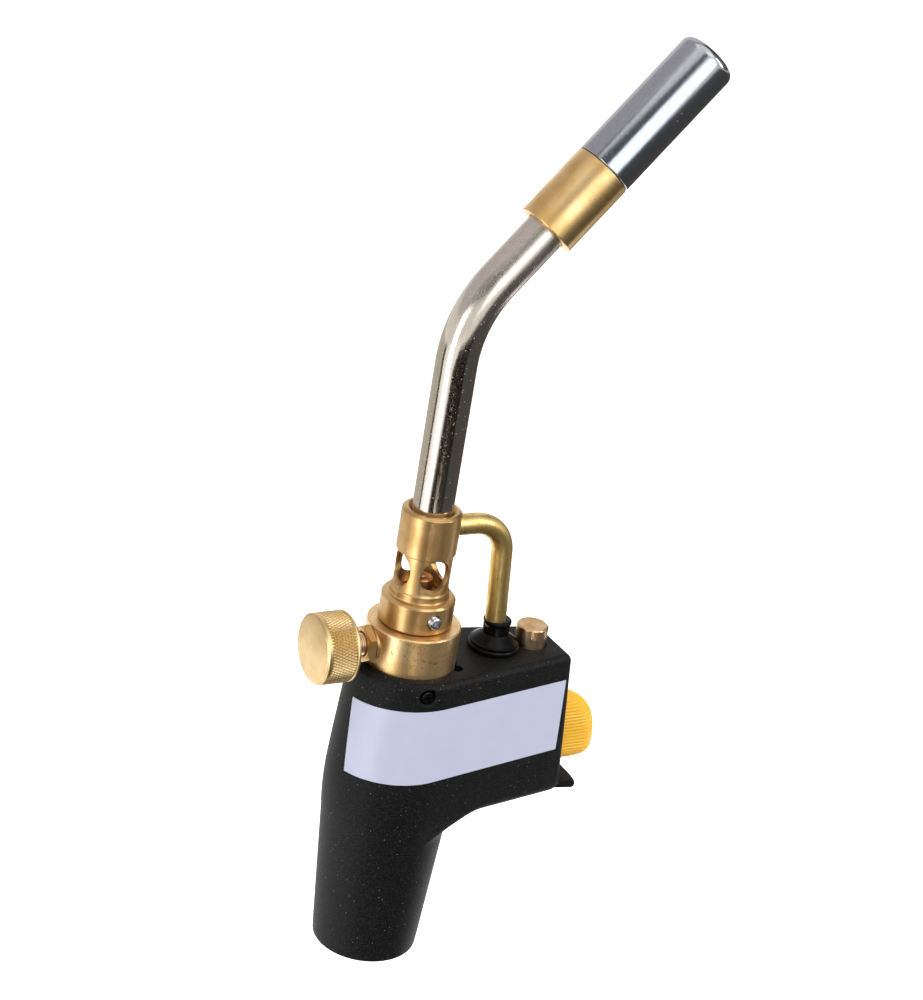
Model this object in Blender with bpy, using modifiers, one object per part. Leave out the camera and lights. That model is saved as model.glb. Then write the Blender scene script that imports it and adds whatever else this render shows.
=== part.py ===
"""Hand gas torch for a screw-on gas cylinder, as an assembly of separate pieces.

Frame: metres, +Z up along the gas axis, +X towards the trigger and the flame, origin at the centre of
the barrel's open mouth, where the gas cylinder's neck goes in. Each piece is one closed object.
"""

import math

import bmesh
import bpy
from mathutils import Matrix, Vector

# Gaps shared by all pieces: between pieces that touch, and where one slides in another
FIT_GAP = 0.0003
RUNNING_GAP = 0.0004
CUT_OVERRUN = 0.003

# Moulded housing: barrel below, head above with its trigger end towards +X
BARREL_MOUTH_RADIUS = 0.0202
BARREL_TOP_RADIUS = 0.0245
BARREL_EDGE_RADIUS = 0.0008
UNDERSIDE_Z = 0.0625
UNDER_FILLET_RADIUS = 0.0105
UNDER_FILLET_RUN_IN = 0.006
UNDER_EDGE_RADIUS = 0.0035
HEAD_HEIGHT = 0.0601
HEAD_TOP_RADIUS = 0.0236
HEAD_BELLY = 0.0016
HEAD_REAR_SHIFT = 0.0023
HEAD_TOP_REACH = 0.0645
HEAD_BOTTOM_REACH = 0.0699
HEAD_SIDE_TAPER = math.radians(9.65)
HEAD_CORNER_RADIUS = 0.0030
HEAD_EDGE_RADIUS = 0.0028
WALL = 0.0024
HEAD_TOP_WALL = 0.0036
HEAD_FLOOR_WALL = 0.0028
NECK_RADIUS = 0.0210
NECK_HEIGHT = 0.0146
RIB_THICKNESS = 0.0020
RIB_REAR_X = 0.0155
LIP_THICKNESS = 0.0032
LIP_REACH = 0.0084
LIP_BOW = 0.0006
LIP_DROP = 0.0009
NOTCH_RADIUS = 0.0019
NOTCH_DEPTH = 0.0040
NOTCH_ANGLE = math.radians(-39.6)

# Valve body: the collar that stands out of the head, its lower body and the neck for the socket
COLLAR_RADIUS = 0.0175
COLLAR_STANDOUT = 0.0153
COLLAR_HEIGHT = 0.0339
COLLAR_CHAMFER = 0.0009
LOWER_BODY_RADIUS = 0.0130
LOWER_BODY_BOTTOM_Z = 0.0580
VALVE_NECK_RADIUS = 0.0080
GAS_BORE_RADIUS = 0.0016
SPIGOT_RADIUS = 0.0090
SPIGOT_HEIGHT = 0.0116
SIDE_BOSS_RADIUS = 0.0068
SIDE_BOSS_LENGTH = 0.0030

# Cylinder socket with its seal, pin and filter. The bore is the core of a one inch cylinder thread
SOCKET_BORE_RADIUS = 0.0121
SOCKET_WALL = 0.0038
SOCKET_MOUTH_Z = 0.0140
SOCKET_DEPTH = 0.0160
SOCKET_ROOF = 0.0030
SOCKET_HUB_RADIUS = 0.0112
SOCKET_HUB_HEIGHT = 0.0130
SOCKET_CHAMFER = 0.0010
SEAL_THICKNESS = 0.0022
SEAL_HOLE_RADIUS = 0.0045
PIN_FLANGE_RADIUS = 0.0040
PIN_FLANGE_THICKNESS = 0.0030
PIN_TIP_RADIUS = 0.0012
PIN_LENGTH = 0.0085
PIN_PORT_RADIUS = 0.0007
FILTER_THICKNESS = 0.0030

# Control valve: gland nut, stem, seal and knob on one axis towards -X
KNOB_AXIS_RISE = 0.0076
GLAND_PAD_RADIUS = 0.0067
GLAND_PAD_STANDOUT = 0.0001
GLAND_NUT_FLATS = 0.0130
GLAND_NUT_TURN = math.radians(18)
GLAND_NUT_HEIGHT = 0.0030
GLAND_NUT_CHAMFER = 0.0008
GLAND_SHANK_RADIUS = 0.0055
GLAND_SHANK_LENGTH = 0.0072
STEM_RADIUS = 0.0042
NEEDLE_RADIUS = 0.0024
NEEDLE_LENGTH = 0.0060
NEEDLE_CONE = 0.0022
STEM_SEAL_THICKNESS = 0.0016
KNOB_RADIUS = 0.01315
KNOB_LENGTH = 0.0136
KNOB_CHAMFER = 0.0008
KNOB_RIM = 0.0019
KNURL_STANDOUT = 0.0001
KNOB_FACE_WALL = 0.0028
KNOB_BACK_X = -0.02715

# Burner connector: collar, mixing chamber with four air holes and the seat of the burn tube
MID_COLLAR_RADIUS = 0.01377
MID_COLLAR_HEIGHT = 0.0112
MID_COLLAR_CHAMFER = 0.0010
STEP_RING_RADIUS = 0.0109
STEP_RING_HEIGHT = 0.0027
CHAMBER_RADIUS = 0.0103
CHAMBER_HEIGHT = 0.0150
CHAMBER_BORE_RADIUS = 0.0083
AIR_HOLE_RADIUS = 0.0057
TUBE_SEAT_RADIUS = 0.01107
TUBE_SEAT_HEIGHT = 0.0165
TUBE_SEAT_CHAMFER = 0.0010
TUBE_SEAT_LIP = 0.0027
GRUB_RADIUS = 0.0020
GRUB_STANDOUT = 0.0020
GRUB_SOCKET_RADIUS = 0.0012
GRUB_SOCKET_DEPTH = 0.0020

# Gas jet in the top of the valve's spigot
JET_SHANK_RADIUS = 0.0025
JET_SHANK_LENGTH = 0.0065
JET_HEAD_RADIUS = 0.0036
JET_HEAD_HEIGHT = 0.0030
JET_NOSE_HEIGHT = 0.0035
JET_NOSE_RADIUS = 0.0014
JET_ORIFICE_RADIUS = 0.0006

# Burn tube, sleeve and flame tube
BURN_TUBE_RADIUS = 0.0076
BURN_TUBE_WALL = 0.0009
BURN_TUBE_STRAIGHT = 0.0694
BURN_TUBE_BEND_RADIUS = 0.0471
BURN_TUBE_BEND = math.radians(41.0)
SLEEVE_START = 0.0239
SLEEVE_LENGTH = 0.0290
SLEEVE_SOCKET_DEPTH = 0.0130
SLEEVE_WEB = 0.0022
FLAME_TUBE_RADIUS = 0.0110
FLAME_TUBE_WALL = 0.0008
FLAME_TUBE_LENGTH = 0.0549
FLAME_SPIGOT_RADIUS = 0.0098
FLAME_SPIGOT_LENGTH = 0.0120
FLAME_MOUTH_ROUND = 0.0032
HOLDER_THICKNESS = 0.0040
HOLDER_HUB_RADIUS = 0.0034
HOLDER_HUB_HEIGHT = 0.0022
HOLDER_PORT_RADIUS = 0.0017
HOLDER_PORT_COUNT = 6
INSULATOR_RADIUS = 0.0020
INSULATOR_LENGTH = 0.0150
ELECTRODE_RADIUS = 0.0006
ELECTRODE_STANDOUT = 0.0080

# Ignition: conduit, grommet, lead and piezo igniter
CONDUIT_RADIUS = 0.0040
CONDUIT_WALL = 0.0008
CONDUIT_AXIS_RISE = 0.0086
CONDUIT_BEND_RADIUS = 0.0135
CONDUIT_LEAN = math.radians(5.0)
CONDUIT_FOOT_DEPTH = 0.0050
GROMMET_X = 0.0362
GROMMET_NECK_RADIUS = 0.0052
GROMMET_NECK_HEIGHT = 0.0064
GROMMET_CONE_HEIGHT = 0.0026
GROMMET_SKIRT_RADIUS = 0.0094
GROMMET_SKIRT_EDGE = 0.0010
GROMMET_DISC_RADIUS = 0.0099
GROMMET_DISC_HEIGHT = 0.0020
GROMMET_GROOVE = 0.0006
GROMMET_FOOT_RADIUS = 0.0070
GROMMET_FOOT_HEIGHT = 0.0027
LEAD_RADIUS = 0.0013
LEAD_TURN_RADIUS = 0.0055
PIEZO_RADIUS = 0.0048
PIEZO_LENGTH = 0.0240
PIEZO_REAR_X = 0.0180
PIEZO_LEVEL_SHARE = 0.4825
PIEZO_BORE_DEPTH = 0.0140
PIEZO_PLUNGER_RADIUS = 0.0028
PIEZO_TERMINAL_RADIUS = 0.0020
PIEZO_TERMINAL_HEIGHT = 0.0020
PIEZO_TERMINAL_X = 0.0235
CRADLE_DEPTH = 0.0026
CRADLE_RISE = 0.0025

# Trigger: ribbed cap that slides along X, its flange behind the window and the lock's arm
TRIGGER_TRAVEL = 0.0060
TRIGGER_HALF_WIDTH = 0.0082
TRIGGER_EDGE_RADIUS = 0.0078
TRIGGER_LOW_SHARE = 0.1281
TRIGGER_MID_SHARE = 0.2320
TRIGGER_HIGH_SHARE = 0.6040
TRIGGER_CROWN_X = 0.08825
TRIGGER_ROOT_X = 0.0700
TRIGGER_FULLNESS = 12 / 5
TRIGGER_RIB_COUNT = 19
TRIGGER_RIB_DEPTH = 0.00035
TRIGGER_FLANGE_THICKNESS = 0.0062
TRIGGER_FLANGE_DROP = 0.0024
TRIGGER_FLANGE_RISE = 0.0047
TRIGGER_ARM_THICKNESS = 0.0030
TRIGGER_ARM_LENGTH = 0.0080
LOCK_SLOT_DEPTH = 0.0042
CHANNEL_FRONT_X = 0.0610
CHANNEL_HALF_WIDTH = 0.0100

# On/off valve worked by the trigger
PLUNGER_LEVEL_SHARE = 0.2413
PLUNGER_RADIUS = 0.0019
PLUNGER_HEAD_RADIUS = 0.0030
PLUNGER_HEAD_LENGTH = 0.0045
VALVE_CHAMBER_DEPTH = 0.0265
PLUNGER_SEAL_THICKNESS = 0.0016
VALVE_SPRING_WIRE = 0.0003
VALVE_SPRING_TURNS = 5
TRIGGER_SPRING_RADIUS = 0.0040
TRIGGER_SPRING_WIRE = 0.0005
TRIGGER_SPRING_TURNS = 9

# Run-lock button
LOCK_X = 0.0525
LOCK_RADIUS = 0.0061
LOCK_STANDOUT = 0.0080
LOCK_SKIRT = 0.0043
LOCK_CHAMFER = 0.0007
LOCK_TRAVEL = 0.0040
LOCK_STEM_RADIUS = 0.0021
LOCK_STEM_CLEARANCE = 0.0006
LOCK_LEDGE_THICKNESS = 0.0020
LOCK_LEDGE_DEPTH = 0.0101
LOCK_LEDGE_REAR_X = 0.0440
LOCK_WASHER_RADIUS = 0.0042
LOCK_WASHER_THICKNESS = 0.0009
LOCK_SPRING_RADIUS = 0.0036
LOCK_SPRING_WIRE = 0.0004
LOCK_SPRING_TURNS = 4

# Screw that holds the housing to the valve's collar
SIDE_SCREW_DROP = 0.0054
SIDE_SCREW_ANGLE = math.radians(-96.0)
SIDE_SCREW_HEAD_RADIUS = 0.0024
SIDE_SCREW_HEAD_HEIGHT = 0.0024
SIDE_SCREW_RADIUS = 0.0015
SIDE_SCREW_GRIP = 0.0054
SIDE_SCREW_SHELF = 0.0016

# Levels that follow from the sizes above
HEAD_TOP_Z = UNDERSIDE_Z + HEAD_HEIGHT
NECK_BOTTOM_Z = HEAD_TOP_Z - NECK_HEIGHT
COLLAR_TOP_Z = HEAD_TOP_Z + COLLAR_STANDOUT
COLLAR_BOTTOM_Z = COLLAR_TOP_Z - COLLAR_HEIGHT
LOWER_BODY_HEIGHT = COLLAR_BOTTOM_Z - LOWER_BODY_BOTTOM_Z
KNOB_AXIS_Z = HEAD_TOP_Z + KNOB_AXIS_RISE
SIDE_SCREW_Z = HEAD_TOP_Z - SIDE_SCREW_DROP
SOCKET_ROOF_Z = SOCKET_MOUTH_Z + SOCKET_DEPTH
SPIGOT_TOP_Z = COLLAR_TOP_Z + SPIGOT_HEIGHT
CONNECTOR_BOTTOM_Z = COLLAR_TOP_Z + FIT_GAP
MID_COLLAR_TOP_Z = CONNECTOR_BOTTOM_Z + MID_COLLAR_HEIGHT
CHAMBER_BOTTOM_Z = MID_COLLAR_TOP_Z + STEP_RING_HEIGHT
CHAMBER_TOP_Z = CHAMBER_BOTTOM_Z + CHAMBER_HEIGHT
CONNECTOR_TOP_Z = CHAMBER_TOP_Z + TUBE_SEAT_HEIGHT
CONDUIT_AXIS_Z = CHAMBER_TOP_Z + CONDUIT_AXIS_RISE
AIR_HOLE_Z = CHAMBER_BOTTOM_Z + CHAMBER_HEIGHT / 2 + RUNNING_GAP
BURN_TUBE_FOOT_Z = CHAMBER_TOP_Z + TUBE_SEAT_LIP
BEND_START_Z = CONNECTOR_TOP_Z + BURN_TUBE_STRAIGHT - TUBE_SEAT_HEIGHT + TUBE_SEAT_LIP
LEDGE_TOP_Z = HEAD_TOP_Z - LOCK_LEDGE_DEPTH
PIEZO_AXIS_Z = UNDERSIDE_Z + HEAD_HEIGHT * PIEZO_LEVEL_SHARE
PLUNGER_AXIS_Z = UNDERSIDE_Z + HEAD_HEIGHT * PLUNGER_LEVEL_SHARE
TRIGGER_LOW_Z = UNDERSIDE_Z + HEAD_HEIGHT * TRIGGER_LOW_SHARE
TRIGGER_MID_Z = UNDERSIDE_Z + HEAD_HEIGHT * TRIGGER_MID_SHARE
TRIGGER_HIGH_Z = UNDERSIDE_Z + HEAD_HEIGHT * TRIGGER_HIGH_SHARE
PIN_SEAT_Z = SOCKET_ROOF_Z + FIT_GAP

PARTS = "gas_torch"
CUTTERS = "cutters"

# Facets round a turned piece, by its size
FINE_SIDES = 30
ROUND_SIDES = 24
SMALL_SIDES = 16
TINY_SIDES = 10
BEND_STEPS = 9
SHARP_ANGLE = math.radians(32)


def clear_scene():
    for item in list(bpy.data.objects):
        bpy.data.objects.remove(item, do_unlink=True)


def collection(name):
    found = bpy.data.collections.get(name)
    if found is None:
        found = bpy.data.collections.new(name)
        bpy.context.scene.collection.children.link(found)
    return found


def material(name, colour, metallic, roughness):
    made = bpy.data.materials.get(name)
    if made is None:
        made = bpy.data.materials.new(name)
        made.use_nodes = True
        shader = made.node_tree.nodes["Principled BSDF"]
        shader.inputs["Base Color"].default_value = (*colour, 1.0)
        shader.inputs["Metallic"].default_value = metallic
        shader.inputs["Roughness"].default_value = roughness
    return made


def make_materials():
    return {
        "housing_plastic": material("housing_plastic", (0.013, 0.013, 0.014), 0.0, 0.55),
        "trigger_plastic": material("trigger_plastic", (0.94, 0.42, 0.02), 0.0, 0.45),
        "turned_brass": material("turned_brass", (0.60, 0.38, 0.13), 1.0, 0.32),
        "tube_steel": material("tube_steel", (0.55, 0.55, 0.54), 1.0, 0.18),
        "dark_steel": material("dark_steel", (0.20, 0.20, 0.21), 1.0, 0.15),
        "bright_steel": material("bright_steel", (0.62, 0.62, 0.62), 1.0, 0.25),
        "black_rubber": material("black_rubber", (0.010, 0.010, 0.010), 0.0, 0.35),
        "igniter_plastic": material("igniter_plastic", (0.10, 0.10, 0.11), 0.0, 0.45),
        "ceramic": material("ceramic", (0.80, 0.78, 0.72), 0.0, 0.40),
        "spring_steel": material("spring_steel", (0.45, 0.45, 0.46), 1.0, 0.30),
        "lead_sleeve": material("lead_sleeve", (0.30, 0.03, 0.02), 0.0, 0.50),
    }


def add_object(name, mesh, finish=None):
    """A part when it has a finish, else a hidden cutter."""
    made = bpy.data.objects.new(name, mesh)
    if finish is None:
        collection(CUTTERS).objects.link(made)
        made.hide_render = True
        made.display_type = "WIRE"
    else:
        collection(PARTS).objects.link(made)
        mesh.materials.append(finish)
    return made


def empty(name, location, rotation=(0, 0, 0)):
    made = bpy.data.objects.new(name, None)
    made.location = location
    made.rotation_euler = rotation
    collection(PARTS).objects.link(made)
    return made


def carry(child, parent):
    """Parents a piece and keeps it where it is."""
    bpy.context.view_layer.update()
    child.parent = parent
    child.matrix_parent_inverse = parent.matrix_world.inverted()
    return child


def profile_mesh(name, profile, closed):
    """Edge loop of (radius, height) points in the XZ plane, for a Screw modifier."""
    mesh = bpy.data.meshes.new(name)
    points = [(radius, 0, height) for radius, height in profile]
    edges = [(index, index + 1) for index in range(len(points) - 1)]
    if closed:
        edges.append((len(points) - 1, 0))
    mesh.from_pydata(points, edges, [])
    return mesh


def turned(name, profile, finish=None, steps=ROUND_SIDES, bored=False):
    """Turned piece: the profile runs down the outer side, and back up the bore where there is one."""
    made = add_object(name, profile_mesh(name, profile, bored), finish)
    screw = made.modifiers.new("turn", "SCREW")
    screw.steps = steps
    screw.render_steps = steps
    screw.use_merge_vertices = True
    screw.merge_threshold = FIT_GAP / 10
    screw.use_smooth_shade = False
    return made


def cylinder(name, radius, length, centre, axis=(0, 0, 1), finish=None, sides=SMALL_SIDES):
    """Round bar or drill, centred on a point and lying along an axis."""
    mesh = bpy.data.meshes.new(name)
    shape = bmesh.new()
    bmesh.ops.create_cone(shape, cap_ends=True, segments=sides, radius1=radius, radius2=radius, depth=length)
    shape.to_mesh(mesh)
    shape.free()
    made = add_object(name, mesh, finish)
    made.location = centre
    made.rotation_euler = Vector((0, 0, 1)).rotation_difference(Vector(axis)).to_euler()
    return made


def block(name, low, high, finish=None):
    """Box between two corners."""
    mesh = bpy.data.meshes.new(name)
    shape = bmesh.new()
    bmesh.ops.create_cube(shape, size=1)
    low = Vector(low)
    high = Vector(high)
    bmesh.ops.scale(shape, vec=high - low, verts=shape.verts)
    bmesh.ops.translate(shape, vec=(low + high) / 2, verts=shape.verts)
    shape.to_mesh(mesh)
    shape.free()
    return add_object(name, mesh, finish)


def combine(target, other, operation):
    step = target.modifiers.new(other.name, "BOOLEAN")
    step.operation = operation
    step.solver = "EXACT"
    step.object = other
    return target


def cut(target, *others):
    for other in others:
        combine(target, other, "DIFFERENCE")
    return target


def join(target, *others):
    for other in others:
        combine(target, other, "UNION")
    return target


def skin_rows(name, rows, finish=None):
    """Closed body from rows of points, each row a ring of the same count, first and last rows capped."""
    mesh = bpy.data.meshes.new(name)
    count = len(rows[0])
    points = [point for row in rows for point in row]
    faces = []
    for row in range(len(rows) - 1):
        for index in range(count):
            following = (index + 1) % count
            low = row * count
            high = low + count
            faces.append((low + index, low + following, high + following, high + index))
    faces.append(tuple(reversed(range(count))))
    faces.append(tuple(range((len(rows) - 1) * count, len(rows) * count)))
    mesh.from_pydata(points, [], faces)
    return add_object(name, mesh, finish)


def tube_mesh(name, points, radius, resolution, finish=None):
    """Round bar along points, from a bevelled curve with filled caps, made a mesh with welded caps."""
    data = bpy.data.curves.new(name, "CURVE")
    data.dimensions = "3D"
    data.bevel_depth = radius
    data.bevel_resolution = resolution
    data.use_fill_caps = True
    spline = data.splines.new("POLY")
    spline.points.add(len(points) - 1)
    for place, point in zip(spline.points, points):
        place.co = (*point, 1)
    curve = bpy.data.objects.new(name + "_curve", data)
    collection(CUTTERS).objects.link(curve)
    graph = bpy.context.evaluated_depsgraph_get()
    mesh = bpy.data.meshes.new_from_object(curve.evaluated_get(graph))
    shape = bmesh.new()
    shape.from_mesh(mesh)
    bmesh.ops.remove_doubles(shape, verts=shape.verts, dist=radius / 1000)
    bmesh.ops.recalc_face_normals(shape, faces=shape.faces)
    shape.to_mesh(mesh)
    shape.free()
    mesh.name = name
    made = add_object(name, mesh, finish)
    made.matrix_world = curve.matrix_world
    bpy.data.objects.remove(curve, do_unlink=True)
    return made


def arc_points(centre, start, turn, radius, steps):
    """Points in the XZ plane from one angle through a turn, both ends included."""
    points = []
    for step in range(steps + 1):
        angle = start + turn * step / steps
        points.append((centre[0] + radius * math.cos(angle), 0, centre[1] + radius * math.sin(angle)))
    return points


def settle(made):
    """Turns a piece's modifiers into its mesh and shades it smooth with its sharp edges kept."""
    graph = bpy.context.evaluated_depsgraph_get()
    mesh = bpy.data.meshes.new_from_object(made.evaluated_get(graph))
    mesh.name = made.name
    mesh.shade_smooth()
    mesh.set_sharp_from_angle(angle=SHARP_ANGLE)
    made.modifiers.clear()
    made.data = mesh


def between(low, high, share):
    return low + (high - low) * share


# Housing

def barrel_radius(z):
    return between(BARREL_MOUTH_RADIUS, BARREL_TOP_RADIUS, z / UNDERSIDE_Z)


def head_radius(z):
    """Rear radius: it swells just above the barrel, then narrows towards the top."""
    share = min(max((z - UNDERSIDE_Z) / HEAD_HEIGHT, 0), 1)
    swell = HEAD_BELLY * share ** (1 / 2) * (1 - share) ** (3 / 2)
    return between(BARREL_TOP_RADIUS, HEAD_TOP_RADIUS, share) + swell


def rear_shift(z):
    """How far the rear leans forwards at a height."""
    share = (z - UNDERSIDE_Z) / HEAD_HEIGHT
    return HEAD_REAR_SHIFT * max(share - REAR_SHIFT_START_SHARE, 0) / (1 - REAR_SHIFT_START_SHARE)


def head_reach(z):
    return between(HEAD_BOTTOM_REACH, HEAD_TOP_REACH, (z - UNDERSIDE_Z) / HEAD_HEIGHT)


REAR_SHIFT_START_SHARE = 0.2
REAR_STEPS = 16
SIDE_STEPS = 5
CORNER_STEPS = 3


def head_outline(z, inset=0.0, reach=None):
    """Plan outline of the head at a height: round rear, tapering sides, flat front with round corners.

    The points run anticlockwise from the middle of the front, all of them moved in by the inset."""
    radius = head_radius(z) - inset
    shift = rear_shift(z)
    front = (head_reach(z) if reach is None else reach) - inset
    corner = max(HEAD_CORNER_RADIUS - inset, HEAD_CORNER_RADIUS / 15)
    normal = math.pi / 2 - HEAD_SIDE_TAPER
    corner_x = front - corner
    side = radius + shift * math.cos(normal)
    corner_y = (side - corner - corner_x * math.cos(normal)) / math.sin(normal)
    half = [(front, 0), (front, corner_y / 2)]
    for step in range(CORNER_STEPS + 1):
        angle = normal * step / CORNER_STEPS
        half.append((corner_x + corner * math.cos(angle), corner_y + corner * math.sin(angle)))
    first = math.atan2(half[-1][1], half[-1][0])
    last = math.atan2(radius * math.sin(normal), shift + radius * math.cos(normal))
    for step in range(1, SIDE_STEPS + 1):
        angle = between(first, last, step / SIDE_STEPS)
        length = side / math.cos(angle - normal)
        half.append((length * math.cos(angle), length * math.sin(angle)))
    for step in range(1, REAR_STEPS // 2):
        angle = between(normal, math.pi, step / (REAR_STEPS // 2))
        half.append((shift + radius * math.cos(angle), radius * math.sin(angle)))
    return half + [(shift - radius, 0)] + [(x, -y) for x, y in reversed(half[1:])]


def under_curve(angle, wall_radius, steps):
    """Radius and height points of one meridian, from the barrel up its hollow fillet to the head's wall."""
    start_z = UNDERSIDE_Z - UNDER_FILLET_RADIUS
    overhang = wall_radius - barrel_radius(UNDERSIDE_Z)
    edge = min(UNDER_EDGE_RADIUS, max(overhang, 0) / 2)
    run = max(overhang - edge, 0)
    sweep = math.acos(1 - min(run, UNDER_FILLET_RADIUS) / UNDER_FILLET_RADIUS)
    path = [(barrel_radius(start_z - UNDER_FILLET_RUN_IN), start_z - UNDER_FILLET_RUN_IN)]
    fine = 24
    for step in range(fine + 1):
        turn = sweep * step / fine
        z = start_z + UNDER_FILLET_RADIUS * math.sin(turn)
        path.append((barrel_radius(z) + UNDER_FILLET_RADIUS * (1 - math.cos(turn)), z))
    if run > UNDER_FILLET_RADIUS:
        path.append((wall_radius - edge, UNDERSIDE_Z))
    return spread(path, steps), path[-1][1], edge


def spread(path, steps):
    """Points at equal distances along a path."""
    lengths = [math.dist(a, b) for a, b in zip(path, path[1:])]
    total = sum(lengths)
    points = []
    for step in range(steps + 1):
        left = total * step / steps
        index = 0
        while index < len(lengths) - 1 and left > lengths[index]:
            left -= lengths[index]
            index += 1
        share = min(left / lengths[index], 1) if lengths[index] else 0
        points.append(tuple(between(a, b, share) for a, b in zip(path[index], path[index + 1])))
    return points


def housing_shell(finish):
    """Outer form: one meridian for each outline point, so that the head grows out of the round barrel."""
    fillet_steps = 8
    edge_steps = 2
    wall_steps = 4
    meridians = []
    base = head_outline(UNDERSIDE_Z)
    for index, (x, y) in enumerate(base):
        angle = math.atan2(y, x)
        direction = Vector((math.cos(angle), math.sin(angle), 0))
        line = []
        edge = BARREL_EDGE_RADIUS
        for step in range(edge_steps + 1):
            turn = math.pi / 2 * step / edge_steps
            radius = barrel_radius(0) - edge * (1 - math.sin(turn))
            line.append(direction * radius + Vector((0, 0, edge * (1 - math.cos(turn)))))
        run_in_z = UNDERSIDE_Z - UNDER_FILLET_RADIUS - UNDER_FILLET_RUN_IN
        for share in (1 / 3, 2 / 3):
            z = between(edge, run_in_z, share)
            line.append(direction * barrel_radius(z) + Vector((0, 0, z)))
        wall_radius = math.hypot(x, y)
        rise, crease_z, round_in = under_curve(angle, wall_radius, fillet_steps)
        for radius, z in rise:
            line.append(direction * radius + Vector((0, 0, z)))
        for step in range(1, edge_steps + 1):
            turn = math.pi / 2 * step / edge_steps
            z = crease_z + UNDER_EDGE_RADIUS * (1 - math.cos(turn))
            place = Vector((*head_outline(max(z, UNDERSIDE_Z))[index], 0))
            if z < UNDERSIDE_Z:
                place = direction * wall_radius
                if round_in == 0:
                    place *= barrel_radius(z) / barrel_radius(UNDERSIDE_Z)
            line.append(place - direction * round_in * (1 - math.sin(turn)) + Vector((0, 0, z)))
        wall_low = line[-1].z
        wall_high = HEAD_TOP_Z - HEAD_EDGE_RADIUS
        for step in range(1, wall_steps + 1):
            z = between(wall_low, wall_high, step / wall_steps)
            line.append(Vector((*head_outline(z)[index], z)))
        for step in range(1, edge_steps + 2):
            turn = math.pi / 2 * step / (edge_steps + 1)
            z = wall_high + HEAD_EDGE_RADIUS * math.sin(turn)
            inset = HEAD_EDGE_RADIUS * (1 - math.cos(turn))
            line.append(Vector((*head_outline(z, inset)[index], z)))
        meridians.append(line)
    rows = [[line[row] for line in meridians] for row in range(len(meridians[0]))]
    return skin_rows("housing", rows, finish)


def guard_lip():
    """Flat lip under the trigger, as wide as the head's front, with a round nose and a bowed front edge."""
    root_x = head_reach(UNDERSIDE_Z) - HEAD_CORNER_RADIUS
    face_x = head_reach(UNDERSIDE_Z)
    nose = LIP_THICKNESS / 2
    middle_z = UNDERSIDE_Z - LIP_DROP + nose
    half_width = head_outline(UNDERSIDE_Z)[2 + CORNER_STEPS // 2][1] - FIT_GAP
    nose_steps = 4
    stations = 8
    rows = []
    for station in range(stations + 1):
        side = math.cos(math.pi * station / stations)
        tip_x = face_x + LIP_REACH + LIP_BOW * (1 - side ** 2) - nose / 2 * side ** 8
        row = [(root_x, UNDERSIDE_Z + FIT_GAP), (face_x - nose, UNDERSIDE_Z + FIT_GAP)]
        for step in range(nose_steps + 1):
            turn = -math.pi / 2 + math.pi * step / nose_steps
            row.append((tip_x - nose + nose * math.cos(turn), middle_z + nose * math.sin(turn)))
        row.append((face_x - nose, middle_z + nose))
        row.append((root_x, middle_z + nose))
        rows.append([(x, half_width * side, z) for x, z in row])
    return skin_rows("lip", rows)


def head_hollow():
    """Cutter for the inside of the head, less the neck, the two guide ribs, the cradle and the ledge."""
    low = UNDERSIDE_Z + HEAD_FLOOR_WALL
    high = HEAD_TOP_Z - HEAD_TOP_WALL
    reach = CHANNEL_FRONT_X + WALL
    rows = [[(x, y, z) for x, y in head_outline(z, WALL, reach)] for z in (low, high)]
    hollow = skin_rows("head_hollow", rows)
    neck = cylinder("neck_core", NECK_RADIUS, NECK_HEIGHT * 2, (0, 0, NECK_BOTTOM_Z + NECK_HEIGHT), sides=FINE_SIDES)
    cut(hollow, neck)
    rib_outer = CHANNEL_HALF_WIDTH + RIB_THICKNESS
    for side, name in ((1, "rib_left"), (-1, "rib_right")):
        ys = sorted((side * CHANNEL_HALF_WIDTH, side * rib_outer))
        rib = block(name, (RIB_REAR_X, ys[0], low - CUT_OVERRUN), (HEAD_BOTTOM_REACH, ys[1], high + CUT_OVERRUN))
        cut(hollow, rib)
    width = rib_outer - RIB_THICKNESS / 2
    cradle = block("cradle",
                   (PIEZO_REAR_X + CRADLE_DEPTH, -width, PIEZO_AXIS_Z - PIEZO_RADIUS - CRADLE_DEPTH),
                   (PIEZO_REAR_X + PIEZO_LENGTH - CRADLE_DEPTH, width, PIEZO_AXIS_Z + CRADLE_RISE))
    ledge = block("ledge", (LOCK_LEDGE_REAR_X, -width, LEDGE_TOP_Z - LOCK_LEDGE_THICKNESS),
                  (HEAD_BOTTOM_REACH, width, LEDGE_TOP_Z))
    return cut(hollow, cradle, ledge)


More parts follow.
